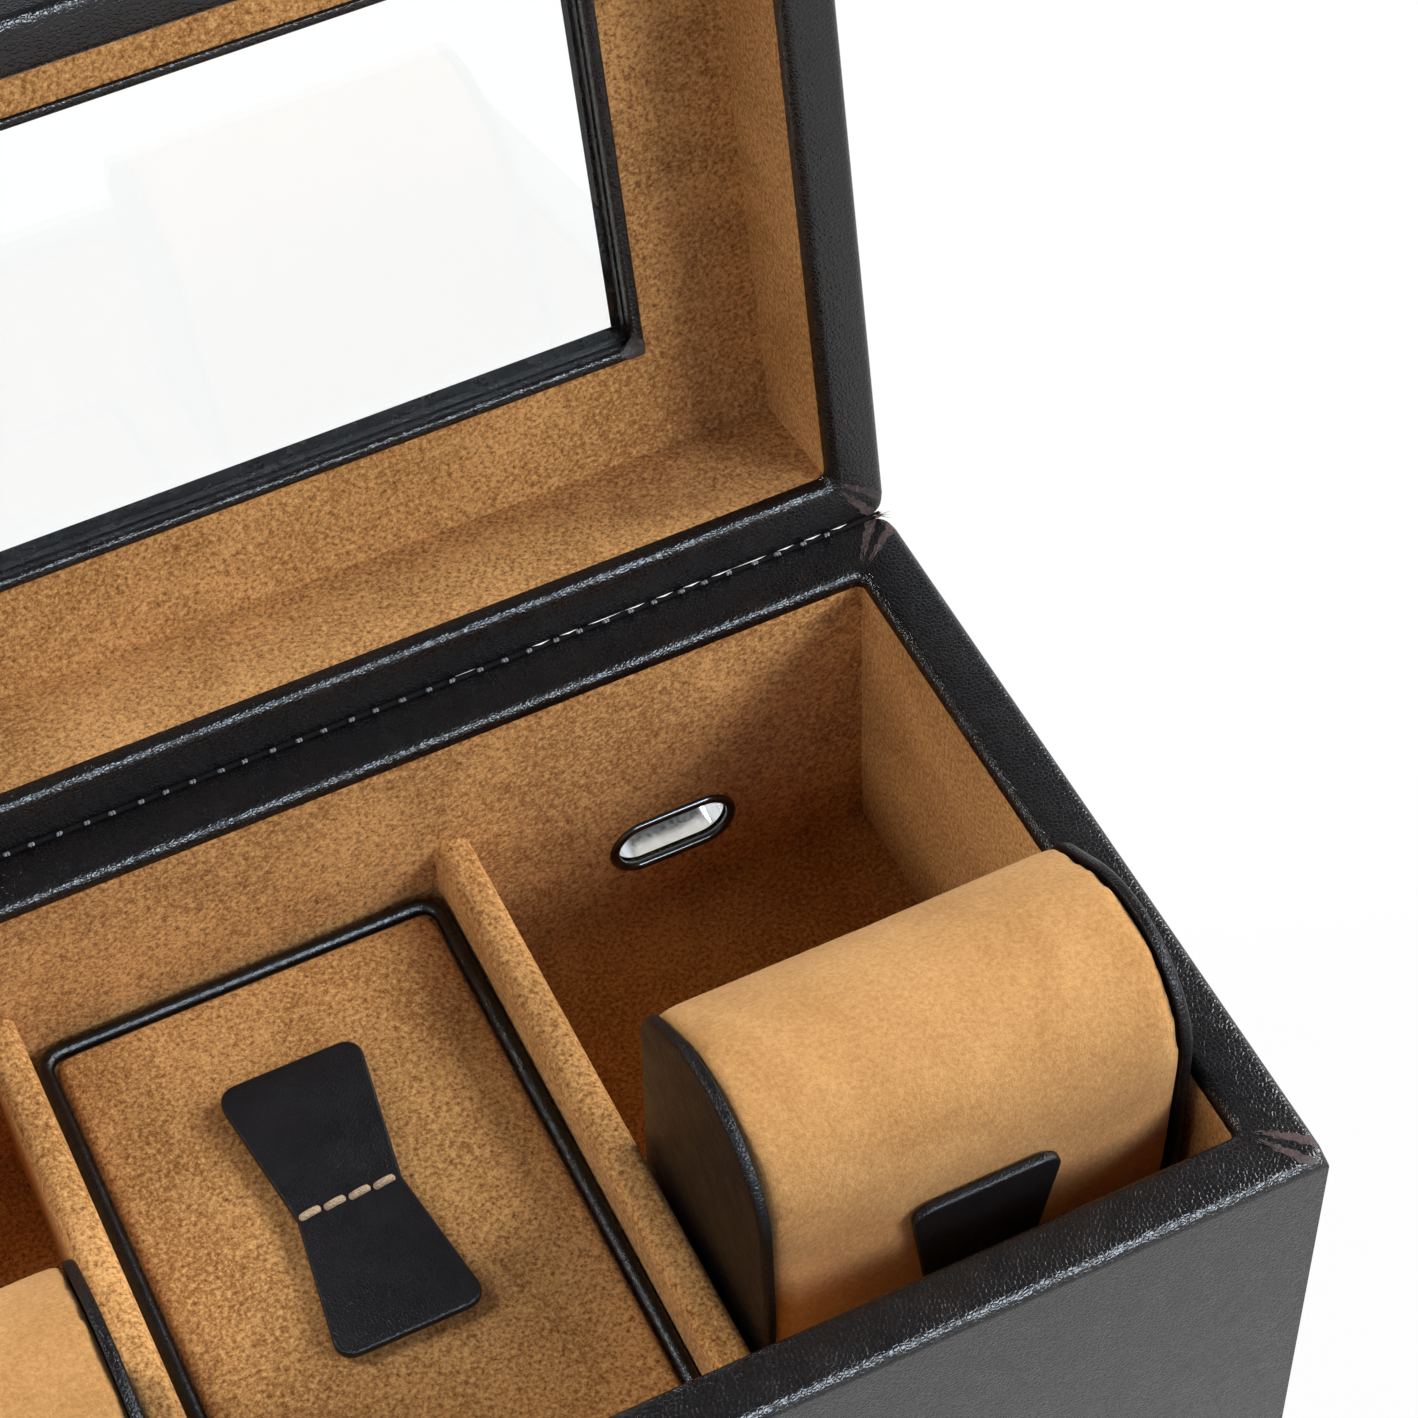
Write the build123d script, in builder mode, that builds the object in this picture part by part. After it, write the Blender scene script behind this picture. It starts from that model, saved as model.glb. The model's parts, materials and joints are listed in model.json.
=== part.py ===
"""Watch box with a drawer: a leather-covered wooden case with suede-lined bays,
a hinged lid with a window, a padded lift-out cover, loose watch cushions and a
shallow drawer under the bays.  Millimetres, +Z up, +Y to the rear, origin at the
middle of the underside.  The lid stands open, as it rests on its sewn hinge."""
from build123d import *
from math import cos, radians, sin
import os

os.makedirs("parts", exist_ok=True)

# Bays
bay_count = 3
bay_width = 70.0
bay_length = 115.0
bay_depth = 59.5
divider_thickness = 6.1
divider_drop = 23.0
divider_round = 2.2

# Layers of the walls
leather = 1.4
lining = 1.2
case_board = 7.0
floor_board = 6.0
bottom_board = 6.0
felt = 1.2
felt_inset = 3.0
rim_rise = 2.6
rim_round = 1.6
corner_round = 3.0

# Lid
lid_open = 99.5
lid_board = 6.2
lid_rise = 3.0
lid_depth = 20.4
lid_round = 1.8
frame_board = 4.6
frame_width = 19.5
rim_gap = 0.3
seam_outset = 0.1
window_roll = 2.0
window_round = 1.2
roll_proud = 0.6
glass = 2.5
glass_lap = 3.0
thread = 1.0
stitch_length = 1.6
stitch_pitch = 4.3
stitch_margin = 8.0

# Cable slot in the back of the right bay
slot_length = 19.5
slot_height = 8.9
slot_rise = 15.1
slot_sleeve = 0.9
slot_rim = 1.7
slot_proud = 0.8
slot_round = 0.3

# Drawer
drawer_space = 36.0
drawer_board = 6.0
drawer_floor = 3.0
drawer_front_gap = 0.6
drawer_side_gap = 1.0
drawer_top_gap = 1.2
drawer_back_gap = 3.0
drawer_travel = 85.0
drawer_lining = 1.0
lining_drop = 2.0
runner_height = 1.5
runner_width = 12.0
sliding_gap = 0.3
stop_depth = 3.0
stop_length = 6.0
stop_width = 30.0
pull_reach = 15.0
pull_root = 5.0
pull_thickness = 2.4

# Padded cover of the middle bay
cover_drop = 33.6
cover_side_gap = 0.3
cover_end_gap = 0.8
cover_board = 4.0
cover_corner = 5.0
piping = 2.7
cover_crown = 3.2
crown_slope = 16.0
ledge_width = 4.0
ledge_height = 4.0

# Bow-tie tabs
tab_length = 51.0
tab_end = 24.0
tab_waist = 17.0
tab_thickness = 1.6
tab_round = 3.0
tab_shift = 8.5

# Watch cushions
cushion_side_gap = 1.2
cushion_front_gap = 10.5
cushion_height = 83.4
cushion_thickness = 40.5
cushion_back = 58.4
cushion_lean = 3.5
shoulder_start = 16.0
shoulder_end = 37.5
back_round = 10.0
top_round = 18.0
shoulder_round = 16.0
front_round = 120.0
cap_thickness = 1.8
cap_lip = 0.4
cap_round = 0.9
cushion_tab_drop = 4.0

# Heights and outlines that follow
inner_width = bay_count * bay_width + (bay_count - 1) * divider_thickness
case_wall = leather + case_board + lining
case_width = inner_width + 2 * case_wall
case_length = bay_length + 2 * case_wall
board_width = case_width - 2 * leather
board_length = case_length - 2 * leather
well_width = inner_width + 2 * lining
well_length = bay_length + 2 * lining
bay_pitch = bay_width + divider_thickness
cushion_length = bay_width - 2 * cushion_side_gap

drawer_bed = felt + bottom_board
drawer_ceiling = drawer_bed + drawer_space
floor_top = drawer_ceiling + floor_board
bay_floor = floor_top + lining
lining_edge = bay_floor + bay_depth
rim_top = lining_edge + rim_rise
board_top = rim_top - leather


def write(piece, name):
    """Label a finished piece and write its STEP file."""
    piece.part.label = name
    export_step(piece.part, f"parts/{name}.step")


# Case boards
for side, name in ((-1, "case_side_left"), (1, "case_side_right")):
    with BuildPart() as side_board:
        with BuildSketch(Plane.XY.offset(felt)):
            with Locations((side * (well_width + case_board) / 2, 0)):
                Rectangle(case_board, board_length)
        extrude(amount=board_top - felt)
    write(side_board, name)

bottom_length = board_length - case_board
with BuildPart() as case_bottom:
    with BuildSketch(Plane.XY.offset(felt)):
        with Locations((0, -case_board / 2)):
            Rectangle(well_width, bottom_length)
    extrude(amount=bottom_board)
write(case_bottom, "case_bottom")

with BuildPart() as case_floor:
    with BuildSketch(Plane.XY.offset(drawer_ceiling)):
        Rectangle(well_width, well_length)
    extrude(amount=floor_board)
write(case_floor, "case_floor")

with BuildPart() as case_front:
    with BuildSketch(Plane.XY.offset(drawer_ceiling)):
        with Locations((0, -(well_length + case_board) / 2)):
            Rectangle(well_width, case_board)
    extrude(amount=board_top - drawer_ceiling)
write(case_front, "case_front")

# Cable slot: its middle, and the outlines of its sleeve and rims
slot_x = bay_pitch * (bay_count - 1) / 2
slot_z = bay_floor + slot_rise
sleeve_length = slot_length + 2 * slot_sleeve
sleeve_height = slot_height + 2 * slot_sleeve
rim_length = slot_length + 2 * slot_rim
rim_height = slot_height + 2 * slot_rim


def facing_front(y):
    """A sketch plane that looks to the front, standing at y."""
    return Plane.XZ.offset(-y)


with BuildPart() as case_back:
    with BuildSketch(Plane.XY.offset(felt)):
        with Locations((0, (well_length + case_board) / 2)):
            Rectangle(well_width, case_board)
    extrude(amount=board_top - felt)
    with BuildSketch(facing_front(board_length / 2)):
        with Locations((slot_x, slot_z)):
            SlotOverall(sleeve_length, sleeve_height)
    extrude(amount=case_board, mode=Mode.SUBTRACT)
write(case_back, "case_back")

with BuildPart() as slot_tube:
    with BuildSketch(facing_front(case_length / 2)):
        with Locations((slot_x, slot_z)):
            SlotOverall(sleeve_length, sleeve_height)
            SlotOverall(slot_length, slot_height, mode=Mode.SUBTRACT)
    extrude(amount=leather + case_board)
write(slot_tube, "slot_sleeve")

for start, depth, outer_end, name in (
    (well_length / 2, lining + slot_proud, Axis.Y, "slot_rim_inner"),
    (case_length / 2 + slot_proud, leather + slot_proud, -Axis.Y, "slot_rim_outer"),
):
    core = (slot_length, slot_height) if outer_end == Axis.Y else (sleeve_length, sleeve_height)
    with BuildPart() as rim_ring:
        with BuildSketch(facing_front(start)):
            with Locations((slot_x, slot_z)):
                SlotOverall(rim_length, rim_height)
                SlotOverall(*core, mode=Mode.SUBTRACT)
        extrude(amount=depth)
        chamfer(rim_ring.edges().group_by(outer_end)[0], slot_round)
    write(rim_ring, name)

# Leather over the case: outer faces, rim, and the turn-in above the lining
with BuildPart() as case_leather:
    with BuildSketch(Plane.XY.offset(felt)):
        RectangleRounded(case_width, case_length, corner_round)
    extrude(amount=rim_top - felt)
    fillet(case_leather.edges().group_by(Axis.Z)[-1], rim_round)
    with BuildSketch(Plane.XY.offset(felt)):
        Rectangle(board_width, board_length)
    extrude(amount=lining_edge - felt, mode=Mode.SUBTRACT)
    with BuildSketch(Plane.XY.offset(lining_edge)):
        Rectangle(board_width, board_length)
        Rectangle(well_width, well_length, mode=Mode.SUBTRACT)
    extrude(amount=board_top - lining_edge, mode=Mode.SUBTRACT)
    with BuildSketch(Plane.XY.offset(lining_edge)):
        Rectangle(inner_width, bay_length)
    extrude(amount=rim_rise, mode=Mode.SUBTRACT)
    fillet(case_leather.edges(Select.LAST).group_by(Axis.Z)[-1], rim_round)
    with BuildSketch(facing_front(-board_length / 2)):
        with Locations((0, drawer_bed + drawer_space / 2)):
            Rectangle(well_width, drawer_space)
    extrude(amount=leather, mode=Mode.SUBTRACT)
    with BuildSketch(facing_front(case_length / 2)):
        with Locations((slot_x, slot_z)):
            SlotOverall(rim_length, rim_height)
    extrude(amount=leather, mode=Mode.SUBTRACT)
write(case_leather, "case_leather")

with BuildPart() as case_felt:
    with BuildSketch():
        RectangleRounded(case_width - 2 * felt_inset, case_length - 2 * felt_inset, corner_round)
    extrude(amount=felt)
write(case_felt, "case_felt")

# Suede linings of the bays
with BuildPart() as lining_back:
    with BuildSketch(facing_front(well_length / 2)):
        with Locations((0, (floor_top + lining_edge) / 2)):
            Rectangle(well_width, lining_edge - floor_top)
        with Locations((slot_x, slot_z)):
            SlotOverall(rim_length, rim_height, mode=Mode.SUBTRACT)
    extrude(amount=lining)
write(lining_back, "lining_back")

with BuildPart() as lining_front:
    with BuildSketch(facing_front(-bay_length / 2)):
        with Locations((0, (floor_top + lining_edge) / 2)):
            Rectangle(well_width, lining_edge - floor_top)
    extrude(amount=lining)
write(lining_front, "lining_front")

for side, name in ((-1, "lining_left"), (1, "lining_right")):
    with BuildPart() as side_lining:
        with BuildSketch(Plane.XY.offset(floor_top)):
            with Locations((side * (inner_width + lining) / 2, 0)):
                Rectangle(lining, bay_length)
        extrude(amount=lining_edge - floor_top)
    write(side_lining, name)

with BuildPart() as bay_floors:
    with BuildSketch(Plane.XY.offset(floor_top)):
        with GridLocations(bay_pitch, 0, bay_count, 1):
            Rectangle(bay_width, bay_length)
    extrude(amount=lining)
write(bay_floors, "bay_floor_linings")

# Dividers, with a rounded top edge
divider_top = lining_edge - divider_drop
for side, name in ((-1, "divider_left"), (1, "divider_right")):
    with BuildPart() as divider:
        with BuildSketch(Plane.XY.offset(floor_top)):
            with Locations((side * bay_pitch / 2, 0)):
                Rectangle(divider_thickness, bay_length)
        extrude(amount=divider_top - floor_top)
        fillet(divider.edges().group_by(Axis.Z)[-1].filter_by(Axis.Y), divider_round)
    write(divider, name)


def bow_tie(length):
    """A tab with wide rounded ends and a narrow waist, its length along local Y."""
    with BuildSketch(mode=Mode.PRIVATE) as outline:
        with BuildLine():
            Polyline(
                (tab_end / 2, length / 2),
                (tab_waist / 2, 0),
                (tab_end / 2, -length / 2),
                (-tab_end / 2, -length / 2),
                (-tab_waist / 2, 0),
                (-tab_end / 2, length / 2),
                close=True,
            )
        make_face()
        fillet(outline.vertices().filter_by(lambda corner: abs(corner.Y) > length / 4), tab_round)
    return outline.sketch


# Padded cover that lifts out of the middle bay, on two ledges
cover_width = bay_width - 2 * cover_side_gap
cover_length = bay_length - 2 * cover_end_gap
piping_z = lining_edge - cover_drop
cover_top = piping_z - piping / 2
cover_low = cover_top - cover_board
ledge_top = cover_low - sliding_gap

with BuildPart() as cover_ledges:
    with BuildSketch(Plane.XY.offset(ledge_top - ledge_height)):
        with GridLocations(bay_width - ledge_width, 0, 2, 1):
            Rectangle(ledge_width, bay_length)
    extrude(amount=ledge_height)
write(cover_ledges, "cover_ledges")

with BuildPart() as cover_base:
    with BuildSketch(Plane.XY.offset(cover_low)):
        RectangleRounded(cover_width, cover_length, cover_corner)
    extrude(amount=cover_board)
write(cover_base, "cover_board")

pad_width = cover_width - 2 * piping
pad_length = cover_length - 2 * piping
pad_corner = cover_corner - piping
with BuildPart() as cover_pad:
    with BuildSketch(Plane.XY.offset(cover_top)):
        RectangleRounded(pad_width, pad_length, pad_corner)
    extrude(amount=piping / 2)
    for inset, rise in ((0, 0), (1.5, 0.55), (crown_slope / 2, 0.9), (crown_slope, 1)):
        with BuildSketch(Plane.XY.offset(piping_z + rise * cover_crown)):
            RectangleRounded(pad_width - 2 * inset, pad_length - 2 * inset, pad_corner)
    loft(ruled=True)
write(cover_pad, "cover_pad")

with BuildPart() as cover_piping:
    with BuildLine(Plane.XY.offset(piping_z)) as piping_route:
        Polyline(
            (0, (cover_length - piping) / 2),
            ((cover_width - piping) / 2, (cover_length - piping) / 2),
            ((cover_width - piping) / 2, -(cover_length - piping) / 2),
            (-(cover_width - piping) / 2, -(cover_length - piping) / 2),
            (-(cover_width - piping) / 2, (cover_length - piping) / 2),
            close=True,
        )
        fillet(
            piping_route.vertices().filter_by(lambda corner: abs(corner.X) > piping),
            cover_corner - piping / 2,
        )
    with BuildSketch(Plane.YZ):
        with Locations(((cover_length - piping) / 2, piping_z)):
            Circle(piping / 2)
    sweep()
write(cover_piping, "cover_piping")

pad_crown = piping_z + cover_crown
with BuildPart() as cover_tab:
    with BuildSketch(Plane.XY.offset(pad_crown)):
        with Locations((0, tab_shift)):
            add(bow_tie(tab_length))
    extrude(amount=tab_thickness)
write(cover_tab, "cover_tab")


# Watch cushions: a D section that stands on its end and leans to the front
lean_sin = sin(radians(cushion_lean))
lean_cos = cos(radians(cushion_lean))
cushion_rear = cushion_front_gap - bay_length / 2 + cushion_thickness * lean_cos


def cushion_plane(x, height):
    """The plane of a cushion's section: x to its rounded front, y up its flat back."""
    return Plane(origin=(x, cushion_rear, height), x_dir=(0, -lean_cos, -lean_sin), z_dir=(-1, 0, 0))


def cushion_section(lip):
    """Outline of a cushion, grown by a lip."""
    with BuildSketch(mode=Mode.PRIVATE) as section:
        with BuildLine():
            half = FilletPolyline(
                (0, 0),
                (0, cushion_back / 2),
                (shoulder_start, cushion_height / 2),
                (shoulder_end, cushion_height / 2),
                (cushion_thickness, 0),
                radius=[back_round, top_round, shoulder_round],
            )
            mirror(half, Plane.XZ)
        make_face()
        fillet(section.vertices().sort_by(Axis.X)[-1], front_round)
        if lip:
            offset(amount=lip)
    return section.sketch


lowest = (cushion_plane(0, 0) * cushion_section(cap_lip)).bounding_box().min.Z
cushion_z = bay_floor + sliding_gap - lowest

for side, name in ((-1, "left"), (1, "right")):
    section_plane = cushion_plane(side * slot_x, cushion_z)
    with BuildPart() as cushion:
        with BuildSketch(section_plane):
            add(cushion_section(0))
        extrude(amount=cushion_length / 2 - cap_thickness, both=True)
    write(cushion, f"cushion_{name}")

    with BuildPart() as cushion_caps:
        for end in (-1, 1):
            inner_face = section_plane.offset(end * (cushion_length / 2 - cap_thickness))
            with BuildSketch(inner_face):
                add(cushion_section(cap_lip))
            extrude(amount=end * cap_thickness)
        end_axis = Axis(section_plane.origin, section_plane.z_dir)
        outer_edges = cushion_caps.edges().group_by(end_axis)
        chamfer(outer_edges[0] + outer_edges[-1], cap_round)
    write(cushion_caps, f"cushion_{name}_caps")

    front = section_plane.x_dir
    tab_middle = section_plane.origin + front * cushion_thickness - section_plane.y_dir * cushion_tab_drop
    with BuildPart() as cushion_tab:
        with BuildSketch(Plane(origin=tab_middle, x_dir=-section_plane.z_dir, z_dir=front)):
            add(bow_tie(tab_length))
        extrude(amount=tab_thickness)
    write(cushion_tab, f"cushion_{name}_tab")

# Drawer, its runners and its stop
opening_width = well_width
front_width = opening_width - 2 * drawer_front_gap
front_height = drawer_space - 2 * drawer_front_gap
front_z = drawer_bed + drawer_space / 2
drawer_width = opening_width - 2 * drawer_side_gap
drawer_low = drawer_bed + runner_height + sliding_gap
drawer_high = drawer_ceiling - drawer_top_gap
drawer_start = -well_length / 2
drawer_end = well_length / 2 - drawer_back_gap
drawer_length = drawer_end - drawer_start
tray_width = drawer_width - 2 * drawer_board
tray_end = drawer_end - drawer_board
tray_length = tray_end - drawer_start
tray_middle = (tray_end + drawer_start) / 2

with BuildPart() as drawer_runners:
    with BuildSketch(Plane.XY.offset(drawer_bed)):
        with GridLocations(well_width - runner_width, 0, 2, 1):
            Rectangle(runner_width, well_length)
    extrude(amount=runner_height)
write(drawer_runners, "drawer_runners")

stop_y = tray_end - drawer_travel - sliding_gap - stop_length / 2
with BuildPart() as drawer_stop:
    with BuildSketch(Plane.XY.offset(drawer_ceiling)):
        with Locations((0, stop_y)):
            Rectangle(stop_width, stop_length)
    extrude(amount=-stop_depth)
write(drawer_stop, "drawer_stop")


def pull_outline():
    """Half of a bow tie: a tongue that widens to its rounded end, seen from above."""
    root = -board_length / 2 + pull_root - leather
    end = -case_length / 2 - pull_reach
    with BuildSketch(mode=Mode.PRIVATE) as outline:
        with BuildLine():
            Polyline(
                (-tab_waist / 2, root),
                (-tab_waist / 2, -case_length / 2),
                (-tab_end / 2, end),
                (tab_end / 2, end),
                (tab_waist / 2, -case_length / 2),
                (tab_waist / 2, root),
                close=True,
            )
        make_face()
        fillet(outline.vertices().group_by(Axis.Y)[0], tab_round)
    return outline.sketch


pull_low = front_z - pull_thickness / 2
with BuildPart() as drawer_front:
    with BuildSketch(facing_front(-well_length / 2)):
        with Locations((0, front_z)):
            Rectangle(front_width, front_height)
    extrude(amount=case_board)
    with BuildSketch(Plane.XY.offset(pull_low)):
        add(pull_outline())
    extrude(amount=pull_thickness, mode=Mode.SUBTRACT)
write(drawer_front, "drawer_front")

with BuildPart() as drawer_leather:
    with BuildSketch(facing_front(-board_length / 2)):
        with Locations((0, front_z)):
            Rectangle(front_width, front_height)
    extrude(amount=leather)
    fillet(drawer_leather.edges().group_by(Axis.Y)[0], leather * 0.8)
    with BuildSketch(Plane.XY.offset(pull_low)):
        add(pull_outline())
    extrude(amount=pull_thickness, mode=Mode.SUBTRACT)
write(drawer_leather, "drawer_front_leather")

with BuildPart() as drawer_pull:
    with BuildSketch(Plane.XY.offset(pull_low)):
        add(pull_outline())
    extrude(amount=pull_thickness)
write(drawer_pull, "drawer_pull")

for side, name in ((-1, "drawer_side_left"), (1, "drawer_side_right")):
    with BuildPart() as drawer_side:
        with BuildSketch(Plane.XY.offset(drawer_low)):
            with Locations((side * (drawer_width - drawer_board) / 2, (drawer_start + drawer_end) / 2)):
                Rectangle(drawer_board, drawer_length)
        extrude(amount=drawer_high - drawer_low)
    write(drawer_side, name)

with BuildPart() as drawer_back:
    with BuildSketch(Plane.XY.offset(drawer_low)):
        with Locations((0, drawer_end - drawer_board / 2)):
            Rectangle(tray_width, drawer_board)
    extrude(amount=drawer_high - drawer_low)
write(drawer_back, "drawer_back")

with BuildPart() as drawer_bottom:
    with BuildSketch(Plane.XY.offset(drawer_low)):
        with Locations((0, tray_middle)):
            Rectangle(tray_width, tray_length)
    extrude(amount=drawer_floor)
write(drawer_bottom, "drawer_bottom")

with BuildPart() as drawer_tray:
    with BuildSketch(Plane.XY.offset(drawer_low + drawer_floor)):
        with Locations((0, tray_middle)):
            Rectangle(tray_width, tray_length)
    extrude(amount=drawer_high - drawer_low - drawer_floor - lining_drop)
    with BuildSketch(Plane.XY.offset(drawer_low + drawer_floor + drawer_lining)):
        with Locations((0, tray_middle)):
            Rectangle(tray_width - 2 * drawer_lining, tray_length - 2 * drawer_lining)
    extrude(amount=drawer_high - drawer_low, mode=Mode.SUBTRACT)
write(drawer_tray, "drawer_lining")

# Lid, drawn as if closed in a frame that turns about the hinge seam
hinge_y = case_length / 2 + seam_outset
hinge_z = rim_top + rim_gap / 2
lid_frame = Plane(
    origin=(0, hinge_y, hinge_z),
    x_dir=(1, 0, 0),
    z_dir=(0, sin(radians(lid_open)), cos(radians(lid_open))),
)
lid_up = Axis(lid_frame.origin, lid_frame.z_dir)
lid_middle = (0, -hinge_y)
lid_wall = leather + lid_board + lining
lid_inner_width = case_width - 2 * lid_wall
lid_inner_length = case_length - 2 * lid_wall
lid_well_width = lid_inner_width + 2 * lining
lid_well_length = lid_inner_length + 2 * lining
opening_x = lid_inner_width - 2 * frame_width
opening_y = lid_inner_length - 2 * frame_width
window_x = opening_x - 2 * window_roll
window_y = opening_y - 2 * window_roll
glass_x = opening_x + 2 * glass_lap
glass_y = opening_y + 2 * glass_lap

lid_rim = rim_gap / 2
lid_lining_edge = lid_rim + lid_rise
lid_ceiling = lid_lining_edge + lid_depth
frame_low = lid_ceiling + lining
frame_high = frame_low + frame_board
lid_top = frame_high + leather
glass_low = frame_high - glass


def lid_level(height):
    """A sketch plane in the lid, at a height above the hinge seam."""
    return lid_frame.offset(height)


with BuildPart() as lid_leather:
    with BuildSketch(lid_level(lid_rim)):
        with Locations(lid_middle):
            RectangleRounded(case_width, case_length, corner_round)
    extrude(amount=lid_top - lid_rim)
    fillet(lid_leather.edges().group_by(lid_up)[0], rim_round)
    fillet(lid_leather.edges().group_by(lid_up)[-1], lid_round)
    with BuildSketch(lid_level(lid_lining_edge)):
        with Locations(lid_middle):
            Rectangle(board_width, board_length)
    extrude(amount=frame_high - lid_lining_edge, mode=Mode.SUBTRACT)
    with BuildSketch(lid_level(lid_rim + leather)):
        with Locations(lid_middle):
            Rectangle(board_width, board_length)
            Rectangle(lid_well_width, lid_well_length, mode=Mode.SUBTRACT)
    extrude(amount=lid_rise - leather, mode=Mode.SUBTRACT)
    with BuildSketch(lid_level(lid_rim)):
        with Locations(lid_middle):
            Rectangle(lid_inner_width, lid_inner_length)
    extrude(amount=lid_rise, mode=Mode.SUBTRACT)
    fillet(lid_leather.edges(Select.LAST).group_by(lid_up)[0], rim_round)
    with BuildSketch(lid_level(frame_high)):
        with Locations(lid_middle):
            Rectangle(window_x, window_y)
    extrude(amount=leather, mode=Mode.SUBTRACT)
    fillet(lid_leather.edges(Select.LAST).group_by(lid_up)[-1], leather / 2)
write(lid_leather, "lid_leather")

wall_low = lid_rim + leather
for side, name in ((-1, "lid_front"), (1, "lid_back")):
    with BuildPart() as lid_long_wall:
        with BuildSketch(lid_level(wall_low)):
            with Locations((0, side * (board_length - lid_board) / 2 - hinge_y)):
                Rectangle(board_width, lid_board)
        extrude(amount=frame_high - wall_low)
    write(lid_long_wall, name)

for side, name in ((-1, "lid_side_left"), (1, "lid_side_right")):
    with BuildPart() as lid_side_wall:
        with BuildSketch(lid_level(wall_low)):
            with Locations((side * (board_width - lid_board) / 2, -hinge_y)):
                Rectangle(lid_board, lid_well_length)
        extrude(amount=frame_high - wall_low)
    write(lid_side_wall, name)

# Flat frame round the window, rebated for the glass
rail_y = (lid_well_length - opening_y) / 2
rail_x = (lid_well_width - opening_x) / 2
for side, name in ((-1, "window_rail_front"), (1, "window_rail_back")):
    with BuildPart() as long_rail:
        with BuildSketch(lid_level(frame_low)):
            with Locations((0, side * (lid_well_length - rail_y) / 2 - hinge_y)):
                Rectangle(lid_well_width, rail_y)
        extrude(amount=frame_board)
        with BuildSketch(lid_level(glass_low)):
            with Locations(lid_middle):
                Rectangle(glass_x, glass_y)
        extrude(amount=glass, mode=Mode.SUBTRACT)
    write(long_rail, name)

for side, name in ((-1, "window_rail_left"), (1, "window_rail_right")):
    with BuildPart() as side_rail:
        with BuildSketch(lid_level(frame_low)):
            with Locations((side * (lid_well_width - rail_x) / 2, -hinge_y)):
                Rectangle(rail_x, opening_y)
        extrude(amount=frame_board)
        with BuildSketch(lid_level(glass_low)):
            with Locations(lid_middle):
                Rectangle(glass_x, glass_y)
        extrude(amount=glass, mode=Mode.SUBTRACT)
    write(side_rail, name)

with BuildPart() as window_glass:
    with BuildSketch(lid_level(glass_low)):
        with Locations(lid_middle):
            Rectangle(glass_x, glass_y)
    extrude(amount=glass)
write(window_glass, "window_glass")

edge_low = lid_ceiling - roll_proud
with BuildPart() as window_edge:
    with BuildSketch(lid_level(edge_low)):
        with Locations(lid_middle):
            Rectangle(opening_x, opening_y)
    extrude(amount=glass_low - edge_low)
    with BuildSketch(lid_level(edge_low)):
        with Locations(lid_middle):
            Rectangle(window_x, window_y)
    extrude(amount=glass_low - edge_low, mode=Mode.SUBTRACT)
    fillet(window_edge.edges(Select.LAST).group_by(lid_up)[0], window_round)
write(window_edge, "window_edge")

# Suede linings of the lid
with BuildPart() as lid_wall_lining:
    with BuildSketch(lid_level(lid_lining_edge)):
        with Locations(lid_middle):
            Rectangle(lid_well_width, lid_well_length)
            Rectangle(lid_inner_width, lid_inner_length, mode=Mode.SUBTRACT)
    extrude(amount=lid_depth)
write(lid_wall_lining, "lid_wall_lining")

with BuildPart() as lid_top_lining:
    with BuildSketch(lid_level(lid_ceiling)):
        with Locations(lid_middle):
            Rectangle(lid_well_width, lid_well_length)
            Rectangle(opening_x, opening_y, mode=Mode.SUBTRACT)
    extrude(amount=lining)
write(lid_top_lining, "lid_top_lining")

# Sewn hinge: stitches that lie along the seam
stitch_count = int((case_width - 2 * stitch_margin) / stitch_pitch)
with BuildPart() as hinge_stitches:
    for step in range(stitch_count):
        stitch_x = (step - (stitch_count - 1) / 2) * stitch_pitch
        with BuildSketch(Plane.YZ.offset(stitch_x)):
            with Locations((hinge_y, hinge_z)):
                RegularPolygon(thread / 2, 6)
        extrude(amount=stitch_length / 2, both=True)
write(hinge_stitches, "hinge_stitches")
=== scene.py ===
# %% [markdown]
# # A leather watch box with a drawer
#
# The wooden case, the lid and the drawer arrive as a imported model: every board, lining and hinge is
# already at its real size and place.  This lesson dresses that model.  It gives the box its wrapped
# leather, its suede linings, the padded cover, the watch cushions and the sewn seam of the lid.
#
# The first cell loads the imported model and keeps its parts, its joints and its record.

import json
import math

import bmesh
import bpy
from mathutils import Matrix, Vector


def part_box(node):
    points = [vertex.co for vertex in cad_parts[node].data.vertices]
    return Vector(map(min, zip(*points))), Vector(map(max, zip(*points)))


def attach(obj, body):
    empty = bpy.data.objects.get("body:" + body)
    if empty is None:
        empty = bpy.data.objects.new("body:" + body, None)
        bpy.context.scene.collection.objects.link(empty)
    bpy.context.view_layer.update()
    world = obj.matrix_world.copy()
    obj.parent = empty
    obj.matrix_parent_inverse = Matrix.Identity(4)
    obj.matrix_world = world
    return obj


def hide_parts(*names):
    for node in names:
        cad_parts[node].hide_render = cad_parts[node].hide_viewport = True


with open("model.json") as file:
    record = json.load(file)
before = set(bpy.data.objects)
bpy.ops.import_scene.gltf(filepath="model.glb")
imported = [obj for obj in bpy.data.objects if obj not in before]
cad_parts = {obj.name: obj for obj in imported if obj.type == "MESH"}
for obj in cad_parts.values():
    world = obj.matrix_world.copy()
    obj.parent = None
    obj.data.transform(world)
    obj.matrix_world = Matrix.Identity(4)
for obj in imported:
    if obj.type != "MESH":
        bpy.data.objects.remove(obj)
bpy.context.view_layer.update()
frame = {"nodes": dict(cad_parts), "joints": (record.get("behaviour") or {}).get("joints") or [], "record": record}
mm = 0.001

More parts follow.
